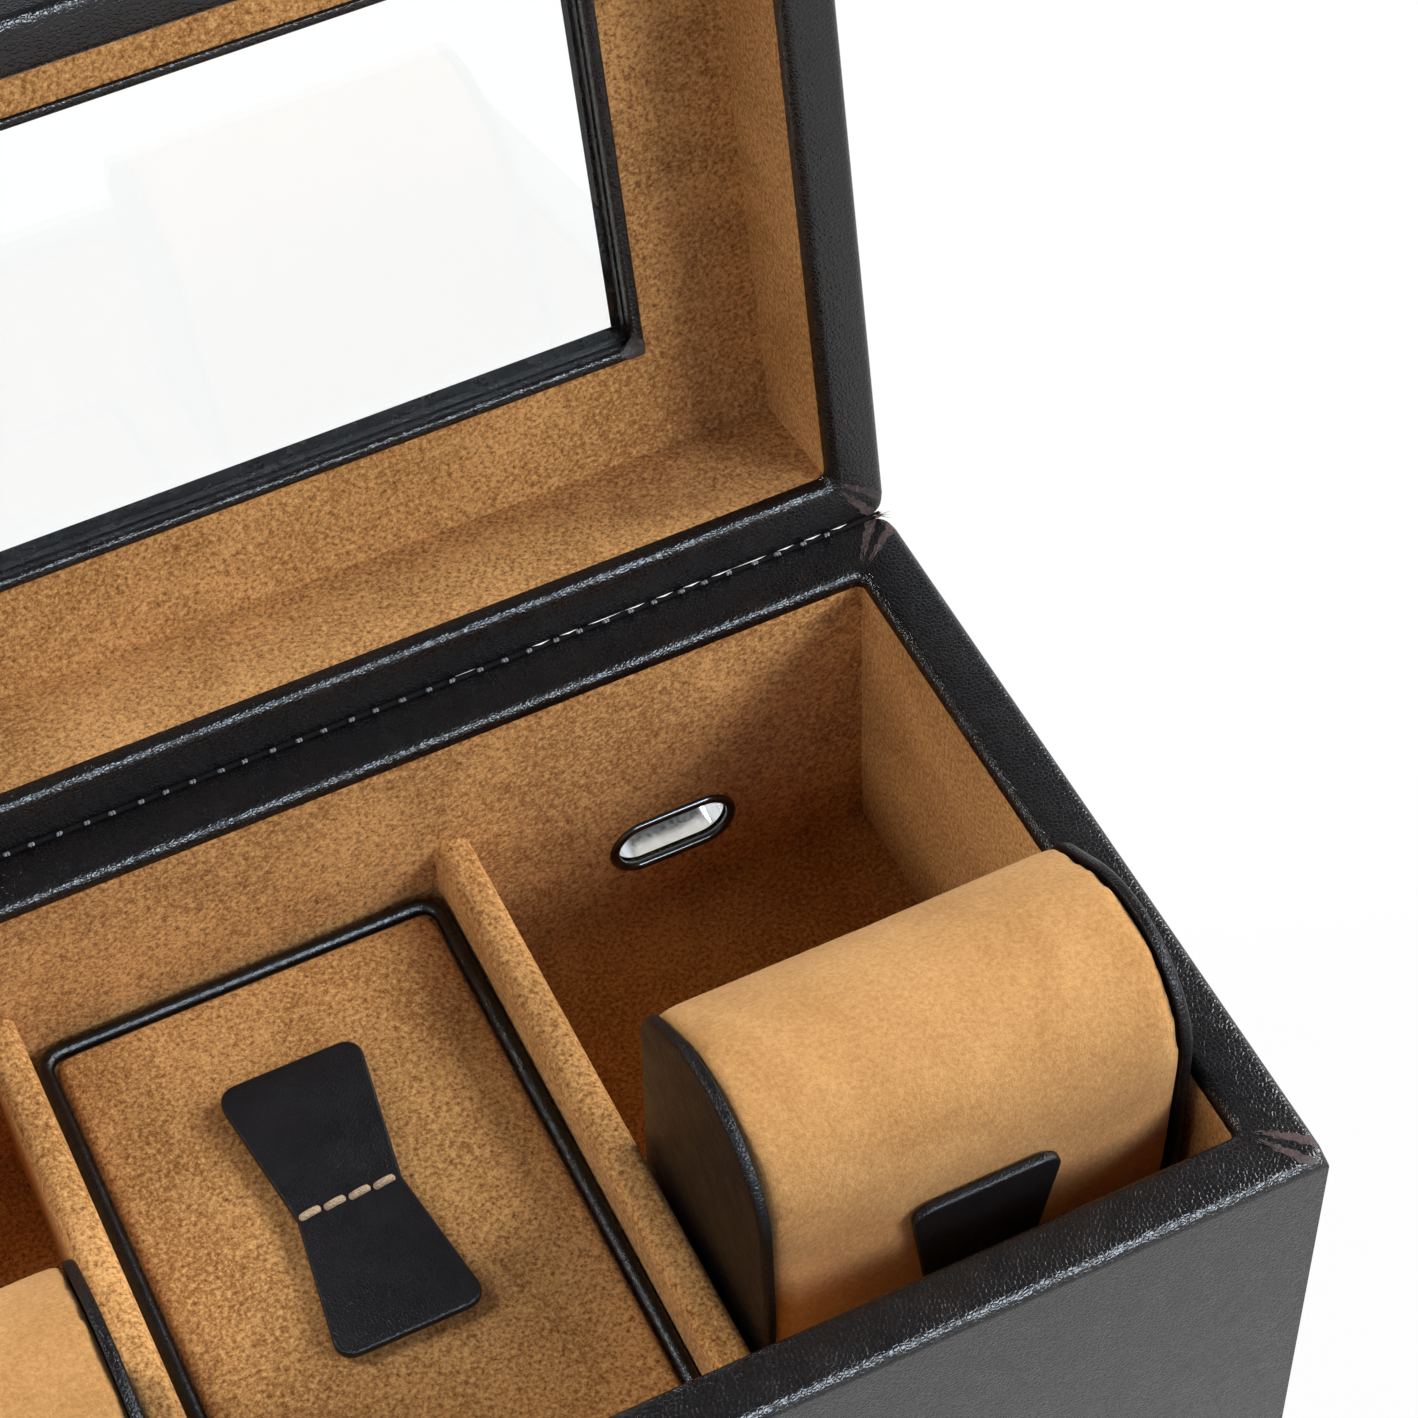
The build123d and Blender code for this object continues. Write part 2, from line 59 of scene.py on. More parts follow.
# %% [markdown]
# ## A few helpers
#
# Almost every step below selects something by its place and then calls an operator, just as a hand
# would click and press a key.  A few helpers keep that short: one leaves a single piece selected,
# one opens it for editing, and one picks faces, edges or corners by a test on their place.
# The model that was just loaded is still selected, so everything is deselected before each step.

# %% Select, edit and pick


def deselect():
    bpy.ops.object.select_all(action="DESELECT")


def only(piece):
    """Leave just this piece selected and active."""
    deselect()
    piece.select_set(True)
    bpy.context.view_layer.objects.active = piece


def start_edit(piece):
    only(piece)
    bpy.ops.object.mode_set(mode="EDIT")
    bpy.ops.mesh.select_all(action="DESELECT")


def end_edit():
    bpy.ops.object.mode_set(mode="OBJECT")


def middle(part):
    """The middle of a face, an edge or a corner."""
    if isinstance(part, bmesh.types.BMVert):
        return part.co
    return sum((corner.co for corner in part.verts), Vector()) / len(part.verts)


def pick(kind, test):
    """Select the verts, edges or faces of the piece being edited that pass the test."""
    bpy.ops.mesh.select_mode(type={"verts": "VERT", "edges": "EDGE", "faces": "FACE"}[kind])
    bpy.ops.mesh.select_all(action="DESELECT")
    shape = bmesh.from_edit_mesh(bpy.context.edit_object.data)
    chosen = [part for part in getattr(shape, kind) if test(part)]
    for part in chosen:
        part.select_set(True)
    bmesh.update_edit_mesh(bpy.context.edit_object.data)
    return len(chosen)


def along(edge, axis):
    """True if the edge runs along this axis (0, 1 or 2)."""
    run = (edge.verts[1].co - edge.verts[0].co).normalized()
    return abs(run[axis]) > 0.99


def is_sharp(edge):
    return len(edge.link_faces) == 2 and edge.calc_face_angle(0) > 1.2


def extrude(x, y, z):
    """Extrude what is picked by this much."""
    bpy.ops.mesh.extrude_region_move(TRANSFORM_OT_translate={"value": (x, y, z)})


print("helpers ready")

# %% Blocks, copies, modifiers and smooth shading


def apply_place():
    """Put the place, turn and size of what is selected into its points."""
    bpy.ops.object.transform_apply(location=True, rotation=True, scale=True)


def box_of(points):
    """The lowest and the highest corner of the box round some points."""
    low = Vector(min(point[axis] for point in points) for axis in range(3))
    high = Vector(max(point[axis] for point in points) for axis in range(3))
    return low, high


def top_of(piece):
    return max(corner.co.z for corner in piece.data.vertices)


def block(name, low, high):
    """A box between two corners, with its object at the origin."""
    deselect()
    bpy.ops.mesh.primitive_cube_add(size=1, location=(low + high) / 2, scale=high - low)
    piece = bpy.context.object
    apply_place()
    piece.name = name
    return piece


def copy_at(piece, place):
    """A copy of a piece with a mesh of its own."""
    twin = piece.copy()
    twin.data = piece.data.copy()
    bpy.context.collection.objects.link(twin)
    twin.matrix_world = place
    return twin


def join(pieces, name):
    deselect()
    for piece in pieces:
        piece.select_set(True)
    bpy.context.view_layer.objects.active = pieces[0]
    bpy.ops.object.join()
    whole = bpy.context.object
    whole.name = name
    return whole


def apply_modifier(piece, kind, **values):
    """Add a modifier, set its values and apply it."""
    only(piece)
    modifier = piece.modifiers.new(kind.title(), kind)
    for name, value in values.items():
        setattr(modifier, name, value)
    bpy.ops.object.modifier_apply(modifier=modifier.name)


def round_edges(value):
    """Give the picked edges a bevel weight; the Bevel modifier turns weights into radii."""
    shape = bmesh.from_edit_mesh(bpy.context.edit_object.data)
    weights = shape.edges.layers.float.get("bevel_weight_edge")
    weights = weights or shape.edges.layers.float.new("bevel_weight_edge")
    for edge in shape.edges:
        if edge.select:
            edge[weights] = value
    bmesh.update_edit_mesh(bpy.context.edit_object.data)


def bevel_by_weight(piece, width, segments):
    apply_modifier(piece, "BEVEL", limit_method="WEIGHT", width=width, segments=segments,
                   use_clamp_overlap=False)


def outward(piece):
    """Close doubles and turn every face outwards."""
    start_edit(piece)
    bpy.ops.mesh.select_all(action="SELECT")
    bpy.ops.mesh.remove_doubles(threshold=0.00001)
    bpy.ops.mesh.normals_make_consistent(inside=False)
    end_edit()


def smooth(piece, angle=40):
    only(piece)
    bpy.ops.object.shade_smooth_by_angle(angle=math.radians(angle))


print("block, copy, bevel and smooth ready")

# %% [markdown]
# ## Finishes
#
# Three finishes carry this box: a dark, smooth hide, a tan microsuede and a few hard parts.  Each one
# is a small tree of nodes.  A helper adds a node and fills its sockets, so that a material reads as a
# short list of steps.  All patterns read the Object coordinates, which are metres here, so a scale of
# 1000 gives one cell to a millimetre.

# %% A material and its nodes


class Finish:
    """A material with a Principled shader, and short calls to add nodes to it."""

    def __init__(self, name, **sockets):
        self.material = bpy.data.materials.new(name)
        self.material.use_nodes = True
        self.tree = self.material.node_tree
        self.shader = self.tree.nodes["Principled BSDF"]
        self.coordinates = self.tree.nodes.new("ShaderNodeTexCoord").outputs["Object"]
        for socket, value in sockets.items():
            self.shader.inputs[socket.replace("_", " ")].default_value = value

    def fill(self, node, inputs):
        for socket, value in inputs.items():
            target = node.inputs[socket if isinstance(socket, int) else socket.replace("_", " ")]
            if isinstance(value, bpy.types.NodeSocket):
                self.tree.links.new(value, target)
            else:
                target.default_value = value
        return node

    def noise(self, scale, detail=2.0, roughness=0.5, vector=None, distortion=0.0):
        node = self.tree.nodes.new("ShaderNodeTexNoise")
        self.fill(node, {"Vector": vector or self.coordinates, "Scale": scale, "Detail": detail,
                         "Roughness": roughness, "Distortion": distortion})
        return node.outputs["Fac"]

    def cells(self, scale, feature="F1", randomness=1.0, vector=None):
        node = self.tree.nodes.new("ShaderNodeTexVoronoi")
        node.feature = feature
        self.fill(node, {"Vector": vector or self.coordinates, "Scale": scale, "Randomness": randomness})
        return node.outputs["Distance"]

    def turned(self, rotation, scale=(1.0, 1.0, 1.0)):
        node = self.tree.nodes.new("ShaderNodeMapping")
        self.fill(node, {"Vector": self.coordinates, "Rotation": rotation, "Scale": scale})
        return node.outputs["Vector"]

    def between(self, value, low, high, to_low=0.0, to_high=1.0):
        """Map a value from one range to another."""
        node = self.tree.nodes.new("ShaderNodeMapRange")
        self.fill(node, {0: value, 1: low, 2: high, 3: to_low, 4: to_high})
        return node.outputs[0]

    def mixed(self, factor, first, second):
        node = self.tree.nodes.new("ShaderNodeMix")
        node.data_type = "RGBA"
        self.fill(node, {0: factor, 6: first, 7: second})
        return node.outputs[2]

    def maths(self, operation, first, second=0.0):
        node = self.tree.nodes.new("ShaderNodeMath")
        node.operation = operation
        self.fill(node, {0: first, 1: second})
        return node.outputs[0]

    def bump(self, height, strength, distance, normal=None):
        node = self.tree.nodes.new("ShaderNodeBump")
        self.fill(node, {"Height": height, "Strength": strength, "Distance": distance})
        if normal is not None:
            self.fill(node, {"Normal": normal})
        return node.outputs["Normal"]

    def send(self, **sockets):
        self.fill(self.shader, sockets)
        return self.material


print("finish helper ready")

# %% [markdown]
# ### Hide
#
# The case is wrapped in a smooth nappa, nearly black with some brown in it.  What shows is its sheen:
# a soft grey where it mirrors the pale room, and thin bright lines where it turns an edge.  The grain
# is a fine net of cells, and faint creases break the bright lines into dashes.  The colour stays dark,
# so the grain is drawn by bump and by roughness rather than by paint.  The tabs and the caps of the
# cushions are duller, the folded welt of the seam is matt, and a cut edge shows the brown inside.

# %% Leather of the wraps, of the tabs and of the piping


def leather(name, dark, warm, grain, grain_depth, crease_depth, roughness, shine=0.42):
    """Mottled from dark to warm, with grain cells to the metre and two depths in metres."""
    finish = Finish(name, Specular_IOR_Level=shine)
    mottle = finish.between(finish.noise(90, 4, 0.6), 0.35, 0.7)
    colour = finish.mixed(mottle, dark, warm)
    pores = finish.noise(2600, 2, 0.6)
    net = finish.cells(grain, "DISTANCE_TO_EDGE", 0.9)
    net = finish.between(net, 0.0, 0.22)
    creases = finish.noise(420, 5, 0.62, finish.turned((0.3, 0.5, 0.8), (1.0, 0.45, 1.0)), 0.6)
    wear = finish.between(finish.noise(240, 3, 0.6), 0.3, 0.75, roughness - 0.05, roughness + 0.08)
    soft = finish.bump(creases, 0.5, crease_depth)
    fine = finish.bump(net, 0.5, grain_depth, soft)
    skin = finish.bump(pores, 0.35, grain_depth * 0.8, fine)
    return finish.send(Base_Color=colour, Roughness=wear, Normal=skin)


hide = leather("hide", (0.0034, 0.0026, 0.0031, 1), (0.0072, 0.0047, 0.0046, 1),
               1400, 0.0001, 0.00003, 0.25)
tab_hide = leather("tab_hide", (0.004, 0.0042, 0.0066, 1), (0.007, 0.007, 0.0098, 1),
                   1800, 0.00009, 0.0001, 0.38, 0.28)
cord_hide = leather("cord_hide", (0.0022, 0.0019, 0.0024, 1), (0.0042, 0.0036, 0.0042, 1),
                    2200, 0.00005, 0.00006, 0.26)
cap_hide = leather("cap_hide", (0.0036, 0.0024, 0.0028, 1), (0.0066, 0.0042, 0.0042, 1),
                   1400, 0.00012, 0.00003, 0.36, 0.2)
welt_hide = leather("welt_hide", (0.002, 0.0017, 0.002, 1), (0.004, 0.003, 0.003, 1),
                    1400, 0.0001, 0.00005, 0.8, 0.1)
cut_edge = leather("cut_edge", (0.014, 0.009, 0.009, 1), (0.085, 0.05, 0.044, 1),
                   900, 0.00012, 0.0003, 0.65)
leathers = (hide, tab_hide, cord_hide, cap_hide, welt_hide, cut_edge)
print("leathers:", ", ".join(skin.name for skin in leathers))

# %% [markdown]
# ### Suede
#
# The linings are a tan microsuede on a fine knit.  The nap lies one way here and another way there,
# which gives the soft mottling.  Its fibres are speckled with painted shade between them and a painted
# highlight on their tips, and the knit below shows as rows of tiny dark dots where the nap is thin.
# Sheen brightens the cloth where it turns away from the eye, as nap does.  The suede of the cushions is
# smoother, with fewer specks.

# %% Tan microsuede


def suede(name, light, dark, dot, dots_seen, rough):
    """Cloth with dots of knit to the metre, how much they show, and how strongly the painted shade and highlight
    of its fibres show.
    """
    finish = Finish(name, Roughness=0.94, Specular_IOR_Level=0.15, Sheen_Weight=0.2,
                    Sheen_Roughness=0.4, Sheen_Tint=(1.0, 0.83, 0.6, 1))
    nap = finish.noise(55, 5, 0.6, finish.turned((0.2, 0.4, 0.6), (1, 0.55, 1)), 0.6)
    colour = finish.mixed(finish.between(nap, 0.36, 0.66), dark, light)
    shade = (dark[0] * 0.34, dark[1] * 0.27, dark[2] * 0.2, 1)
    # The fibre speckle is painted light: painted shade between the fibres and a painted highlight on their tips.
    fuzz = finish.noise(1350, 4, 0.8)
    colour = finish.mixed(finish.between(fuzz, 0.5, 0.33, 0.0, rough), colour, shade)
    tip_highlight = (min(light[0] * 1.35, 0.9), light[1] * 1.5, light[2] * 1.8, 1)
    colour = finish.mixed(finish.between(fuzz, 0.5, 0.68, 0.0, rough), colour, tip_highlight)
    knit = finish.cells(dot, "F1", 0.3, finish.turned((0.62, 0.62, 0.78)))
    rows = finish.between(knit, 0.12, 0.36, 1.0, 0.0)
    thin = finish.between(finish.noise(30, 3, 0.6), 0.35, 0.65, 0.25 * dots_seen, dots_seen)
    colour = finish.mixed(finish.maths("MULTIPLY", rows, thin), colour, shade)
    soft = finish.bump(nap, 0.2, 0.0008)
    fibres = finish.bump(fuzz, 0.7, 0.0004, soft)
    return finish.send(Base_Color=colour, Normal=fibres)


tan_suede = suede("tan_suede", (0.75, 0.39, 0.134, 1), (0.49, 0.228, 0.065, 1), 1050, 0.7, 1.0)
cushion_suede = suede("cushion_suede", (0.68, 0.37, 0.138, 1), (0.53, 0.265, 0.085, 1), 1150, 0.08, 0.3)
print("suedes:", tan_suede.name, cushion_suede.name)

# %% [markdown]
# ### Hard parts, thread, felt and board
#
# The cable slot has a polished sleeve and a glossy dark rim, and the lid a clear pane.  The tabs are
# sewn with a tan thread, the seam of the lid with a dark one.  On both, a stretched noise in waves paints
# lighter and darker bands along the twist, a painted highlight and shade of the strands, and the pale
# bluish bands of the dark thread are a painted highlight.  The underside is felt, and the boards inside
# are plain fibreboard.

# %% Metal, lacquer, glass, threads, felt and board


def sleeve_metal():
    finish = Finish("sleeve_metal", Metallic=1.0)
    tone = finish.between(finish.noise(300, 3), 0.3, 0.7)
    colour = finish.mixed(tone, (0.78, 0.77, 0.74, 1), (0.88, 0.87, 0.85, 1))
    rough = finish.between(finish.noise(900, 3), 0.3, 0.7, 0.12, 0.24)
    dents = finish.bump(finish.noise(500, 2), 0.15, 0.0001)
    return finish.send(Base_Color=colour, Roughness=rough, Normal=dents)


def lacquer_rim():
    finish = Finish("lacquer_rim", Coat_Weight=0.6, Coat_Roughness=0.08)
    colour = finish.mixed(finish.noise(400, 3), (0.012, 0.008, 0.007, 1), (0.022, 0.014, 0.011, 1))
    rough = finish.between(finish.noise(700, 3), 0.3, 0.7, 0.18, 0.3)
    dents = finish.bump(finish.noise(600, 2), 0.2, 0.0001)
    return finish.send(Base_Color=colour, Roughness=rough, Normal=dents)


def window_pane():
    finish = Finish("window_pane", Transmission_Weight=1.0, IOR=1.45, Roughness=0.0)
    tint = finish.mixed(finish.noise(20, 2), (0.985, 0.995, 0.99, 1), (0.995, 1.0, 0.998, 1))
    return finish.send(Base_Color=tint)


def thread(name, dark, light, scale):
    finish = Finish(name, Sheen_Weight=0.3, Roughness=0.62)
    strands = finish.noise(scale, 1, 0.5, finish.turned((0, 0.7, 0.7), (1, 4, 4)))
    # The waves of the twist paint highlight and shade along the strands into the colour.
    twist_and_painted_shade = finish.maths("SINE", finish.maths("MULTIPLY", strands, 30.0))
    colour = finish.mixed(finish.between(twist_and_painted_shade, -1.0, 1.0), dark, light)
    return finish.send(Base_Color=colour, Normal=finish.bump(twist_and_painted_shade, 0.4, 0.0002))


def felt_base():
    finish = Finish("felt_base", Roughness=0.97, Sheen_Weight=0.3, Specular_IOR_Level=0.1)
    fibres = finish.noise(1800, 4, 0.7, None, 1.2)
    tone = finish.between(fibres, 0.3, 0.7)
    colour = finish.mixed(tone, (0.016, 0.012, 0.01, 1), (0.045, 0.035, 0.03, 1))
    return finish.send(Base_Color=colour, Normal=finish.bump(fibres, 0.6, 0.0004))


def fibre_board():
    finish = Finish("fibre_board", Roughness=0.8)
    fibres = finish.noise(900, 5, 0.7, finish.turned((0, 0, 0), (0.3, 1, 1)))
    tone = finish.between(fibres, 0.3, 0.7)
    colour = finish.mixed(tone, (0.25, 0.15, 0.075, 1), (0.38, 0.25, 0.14, 1))
    return finish.send(Base_Color=colour, Normal=finish.bump(fibres, 0.3, 0.0002))


tan_thread = thread("tan_thread", (0.40, 0.24, 0.12, 1), (0.85, 0.66, 0.44, 1), 900)
fray = thread("fray", (0.16, 0.10, 0.06, 1), (0.42, 0.30, 0.19, 1), 1300)
# The pale bluish second colour of the dark seam thread is a painted highlight.
dark_thread = thread("dark_thread", (0.08, 0.085, 0.1, 1), (0.34, 0.36, 0.42, 1), 1100)
finishes = {
    "leather": hide, "tab_leather": tab_hide, "piping": cord_hide, "suede": tan_suede,
    "felt": felt_base(), "thread": dark_thread, "lacquer": lacquer_rim(), "metal": sleeve_metal(),
    "glass": window_pane(), "board": fibre_board(),
}
for part in frame["record"]["subparts"]:
    for slot in frame["nodes"][part["node"]].material_slots:
        slot.material = finishes[part["material_slot"]]
print("finishes on the packed nodes:", ", ".join(finishes))

# %% [markdown]
# ## Where things are
#
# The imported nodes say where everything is.  The lid stands open, which is awkward to model in, so its
# pieces are drawn as if it were shut and are then turned open about the hinge, exactly as the real lid
# turns.  The next cell finds the angle and the hinge line, and measures the lid's nodes as if shut.

# %% The hinge, and boxes of the shut lid
hinge = next(joint for joint in frame["joints"] if joint["name"] == "lid_hinge")
hinge_line = Vector(hinge["pos_m"])
open_angle = math.radians(abs(hinge["range_deg"][0]))
turn_shut = (Matrix.Translation(hinge_line) @ Matrix.Rotation(open_angle, 4, "X")
             @ Matrix.Translation(-hinge_line))


def shut_box(node):
    """The box of a lid node as if the lid were shut."""
    return box_of([turn_shut @ corner.co for corner in frame["nodes"][node].data.vertices])


def opened(piece):
    """Turn a lid piece from shut to open.  This operator counts its angle the other way round."""
    only(piece)
    bpy.ops.transform.rotate(value=open_angle, orient_axis="X", center_override=hinge_line)
    apply_place()


case_low, case_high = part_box("case_leather")
well = Vector((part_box("lining_right")[0].x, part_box("lining_back")[0].y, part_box("lining_back")[1].z))
lid_low, lid_high = shut_box("lid_leather")
print("inner well, mm:", [round(v / mm, 1) for v in well])
print("shut lid, mm:", [round(v / mm, 1) for v in (*lid_low, *lid_high)])

# %% [markdown]
# ## The leather of the case
#
# One hide wraps the case: it covers the outer faces, goes over the rim and turns in for a few
# millimetres above the lining.  A flat box with a hole would look like painted wood, because leather
# never turns a sharp corner.  So the wrap is drawn as a thin sheet: a block without its bottom, with
# its top inset to the width of the rim and pushed down to the lining.  Weights then round each kind of
# edge by its own radius, and Solidify gives the hide its thickness.  Where the lid is sewn on, the
# hide is folded tight, so that edge is nearly sharp.

# %% Wrap the case
hide_thickness = 1.4 * mm
rim_radius = 1.6 * mm
corner_radius = 3.0 * mm
seam_radius = 0.45 * mm
rim_width = case_high.x - well.x

case_wrap = block("case_wrap", case_low, case_high)
start_edit(case_wrap)
pick("faces", lambda face: face.normal.z < -0.5)
bpy.ops.mesh.delete(type="FACE")
pick("faces", lambda face: face.normal.z > 0.5)
bpy.ops.mesh.inset(thickness=rim_width)
extrude(0, 0, well.z - case_high.z)
bpy.ops.mesh.delete(type="FACE")
end_edit()
print("rim width in mm:", round(rim_width / mm, 2))

# %% [markdown]
# The drawer needs its opening in the front.  An inset of the front face keeps the frame round it, and
# its upper and lower edges are then moved to the drawer's, as one would drag them in the front view.

# %% Open the front for the drawer
opening_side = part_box("drawer_runners")[1].x
opening_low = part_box("drawer_runners")[0].z
opening_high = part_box("case_floor")[0].z
front_halfway = 60 * mm
front_frame = case_high.x - opening_side
start_edit(case_wrap)
pick("faces", lambda face: face.normal.y < -0.5 and middle(face).y < case_low.y + mm)
bpy.ops.mesh.inset(thickness=front_frame)
bpy.ops.mesh.delete(type="FACE")


def on_front(corner, upper):
    inside = abs(corner.co.x) < opening_side + mm and corner.co.y < case_low.y + 0.5 * mm
    return inside and (corner.co.z > front_halfway) == upper


for upper, height in ((True, opening_high), (False, opening_low)):
    pick("verts", lambda corner: on_front(corner, upper))
    now = case_high.z - front_frame if upper else case_low.z + front_frame
    bpy.ops.transform.translate(value=(0, 0, height - now))
end_edit()
opening = (2 * opening_side, opening_high - opening_low)
print("drawer opening, mm:", [round(v / mm, 1) for v in opening])

# %% Round the edges of the wrap and give it its thickness


def on_case_rim(edge):
    return middle(edge).z > case_high.z - mm / 2


def within_well(spot):
    return abs(spot.x) < well.x + mm / 2 and abs(spot.y) < well.y + mm / 2 and spot.z > well.z


start_edit(case_wrap)
pick("edges", lambda edge: along(edge, 2) and abs(middle(edge).x) > case_high.x - mm / 2
     and abs(middle(edge).y) > well.y + mm)
round_edges(1.0)
pick("edges", lambda edge: on_case_rim(edge) and not along(edge, 2))
round_edges(rim_radius / corner_radius)
pick("edges", lambda edge: on_case_rim(edge) and along(edge, 0)
     and middle(edge).y > case_high.y - mm / 2)
round_edges(seam_radius / corner_radius)
pick("edges", lambda edge: along(edge, 2) and within_well(middle(edge)))
round_edges(0.5)
end_edit()
bevel_by_weight(case_wrap, corner_radius, 6)
apply_modifier(case_wrap, "SOLIDIFY", thickness=hide_thickness, offset=-1)
smooth(case_wrap)
print("case wrap faces:", len(case_wrap.data.polygons))

# %% [markdown]
# The cable slot goes through the back of the hide.  A Boolean with a slot-shaped cutter is the plain
# way: the cutter is a ring of 40 corners whose two halves are drawn apart and then filled and extruded.

# %% Slot-shaped outline, and the hole in the wrap
slot_low, slot_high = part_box("slot_rim_inner")
slot_middle = (slot_low + slot_high) / 2
slot_height = slot_high.z - slot_low.z
slot_length = slot_high.x - slot_low.x


def slot_outline(name, length, height, y):
    """A closed wire in the shape of a slot, standing at y and facing the front."""
    deselect()
    bpy.ops.mesh.primitive_circle_add(vertices=40, radius=height / 2, rotation=(math.pi / 2, 0, 0),
                                      location=(slot_middle.x, y, slot_middle.z))
    piece = bpy.context.object
    piece.name = name
    apply_place()
    start_edit(piece)
    for side in (-1, 1):
        pick("verts", lambda corner: (corner.co.x - slot_middle.x) * side > 0.01 * mm)
        bpy.ops.transform.translate(value=(side * (length - height) / 2, 0, 0))
    end_edit()
    return piece


slot_cutter = slot_outline("slot_cutter", slot_length, slot_height, case_high.y - 3 * mm)
start_edit(slot_cutter)
bpy.ops.mesh.select_all(action="SELECT")
bpy.ops.mesh.edge_face_add()
extrude(0, 6 * mm, 0)
end_edit()
outward(slot_cutter)
apply_modifier(case_wrap, "BOOLEAN", object=slot_cutter, operation="DIFFERENCE", solver="EXACT")
bpy.data.objects.remove(slot_cutter)
smooth(case_wrap)
case_wrap.data.materials.append(hide)
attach(case_wrap, "case")
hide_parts("case_leather")
print("slot in mm:", round(slot_length / mm, 1), "by", round(slot_height / mm, 1))

# %% [markdown]
# ## The leather of the lid
#
# The lid is wrapped the same way, but its rim looks down and its top has a large window.  It is drawn
# shut: the bottom of a block is inset and pushed up to the lid's lining, the top is inset to the
# window and pushed down by the thickness of the hide.

# %% Wrap the lid
lid_lining_low, lid_lining_high = shut_box("lid_wall_lining")
window_low, window_high = shut_box("window_edge")
lining_thickness = 1.2 * mm
lid_rim_width = lid_high.x - (lid_lining_high.x - lining_thickness)
roll_width = 2.0 * mm
window_margin = lid_high.x - window_high.x + roll_width
lid_radius = 1.8 * mm

lid_wrap = block("lid_wrap", lid_low, lid_high)
start_edit(lid_wrap)
pick("faces", lambda face: face.normal.z < -0.5)
bpy.ops.mesh.inset(thickness=lid_rim_width)
extrude(0, 0, lid_lining_low.z - lid_low.z)
bpy.ops.mesh.delete(type="FACE")
pick("faces", lambda face: face.normal.z > 0.5)
bpy.ops.mesh.inset(thickness=window_margin)
extrude(0, 0, -hide_thickness)
bpy.ops.mesh.delete(type="FACE")
end_edit()
print("lid rim in mm:", round(lid_rim_width / mm, 2))

# %% Round the edges of the lid's wrap


def on_lid_rim(edge):
    return middle(edge).z < lid_low.z + mm / 2


def inside_lid(edge, distance):
    """True for an upright edge that is at least this far in from the lid's sides."""
    return along(edge, 2) and abs(middle(edge).x) < lid_high.x - distance


start_edit(lid_wrap)
pick("edges", lambda edge: along(edge, 2) and abs(middle(edge).x) > lid_high.x - mm / 2)
round_edges(1.0)
pick("edges", lambda edge: on_lid_rim(edge) and not along(edge, 2))
round_edges(rim_radius / corner_radius)
pick("edges", lambda edge: middle(edge).z > lid_high.z - mm / 2 and not along(edge, 2))
round_edges(lid_radius / corner_radius)
pick("edges", lambda edge: on_lid_rim(edge) and along(edge, 0)
     and middle(edge).y > lid_high.y - mm / 2)
round_edges(seam_radius / corner_radius)
pick("edges", lambda edge: inside_lid(edge, 2 * mm) and middle(edge).z < lid_lining_low.z)
round_edges(0.5)
pick("edges", lambda edge: inside_lid(edge, 20 * mm))
round_edges(0.35)
end_edit()
bevel_by_weight(lid_wrap, corner_radius, 6)
apply_modifier(lid_wrap, "SOLIDIFY", thickness=hide_thickness, offset=-1)
smooth(lid_wrap)
opened(lid_wrap)
lid_wrap.data.materials.append(hide)
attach(lid_wrap, "lid")
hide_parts("lid_leather")
starts = (min(corner.co.z for corner in lid_wrap.data.vertices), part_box("lid_leather")[0].z)
print("mm up, lid wrap and packed one:", [round(v / mm, 1) for v in starts])

# %% [markdown]
# ## The rolled edge round the window
#
# A strip of hide is rolled over the edge of the window frame, so the suede ends under a soft dark bead.
# Behind the bead the strip lies flat on the thickness of the frame.  It is drawn as a flat ring by an
# inset, then pushed up in steps: the bead, a thin crease beside it, and the flat part.

# %% Roll the edge of the window
bead_height = 2.1 * mm
crease = 0.3 * mm
window_middle = (window_low + window_high) / 2
window_half = (window_high - window_low) / 2
window_edge = block("window_roll", window_low, window_high)
start_edit(window_edge)
pick("faces", lambda face: face.normal.z > 0.5)
bpy.ops.mesh.delete(type="FACE")
pick("faces", lambda face: face.normal.z < -0.5)
bpy.ops.mesh.inset(thickness=roll_width)
extrude(0, 0, bead_height)
bpy.ops.mesh.inset(thickness=-crease)
extrude(0, 0, crease)
bpy.ops.mesh.inset(thickness=crease)
extrude(0, 0, window_high.z - window_low.z - bead_height - crease)
bpy.ops.mesh.delete(type="FACE")
end_edit()

# %% Round the bead


def from_border(edge):
    """How far the middle of an edge lies from the roll's outer border."""
    spot = middle(edge) - window_middle
    return min(window_half.x - abs(spot.x), window_half.y - abs(spot.y))


def on_bead(edge):
    return middle(edge).z < window_low.z + 0.1 * mm and not along(edge, 2)


start_edit(window_edge)
pick("edges", lambda edge: on_bead(edge) and from_border(edge) > roll_width - 0.1 * mm)
round_edges(1.0)
pick("edges", lambda edge: on_bead(edge) and from_border(edge) < 0.1 * mm)
round_edges(0.45)
end_edit()
bevel_by_weight(window_edge, 1.2 * mm, 6)
smooth(window_edge, 50)
opened(window_edge)
window_edge.data.materials.append(hide)
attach(window_edge, "lid")
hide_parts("window_edge")
print("window in mm:", [round(v / mm, 1) for v in window_high - window_low])

# %% [markdown]
# ## The rims of the cable slot
#
# Inside and outside, a glossy dark rim frames the slot.  It is a round bead rather than a flat washer,
# which is what gives the thin bright line along it.  The wire outline from before becomes a curve, and
# the bevel of the curve becomes the bead.

# %% Bead the slot


def beaded(piece, radius, segments=4):
    """Turn a closed wire into a round tube."""
    only(piece)
    bpy.ops.object.convert(target="CURVE")
    piece.data.bevel_depth = radius
    piece.data.bevel_resolution = segments
    bpy.ops.object.convert(target="MESH")
    outward(piece)
    smooth(piece, 60)


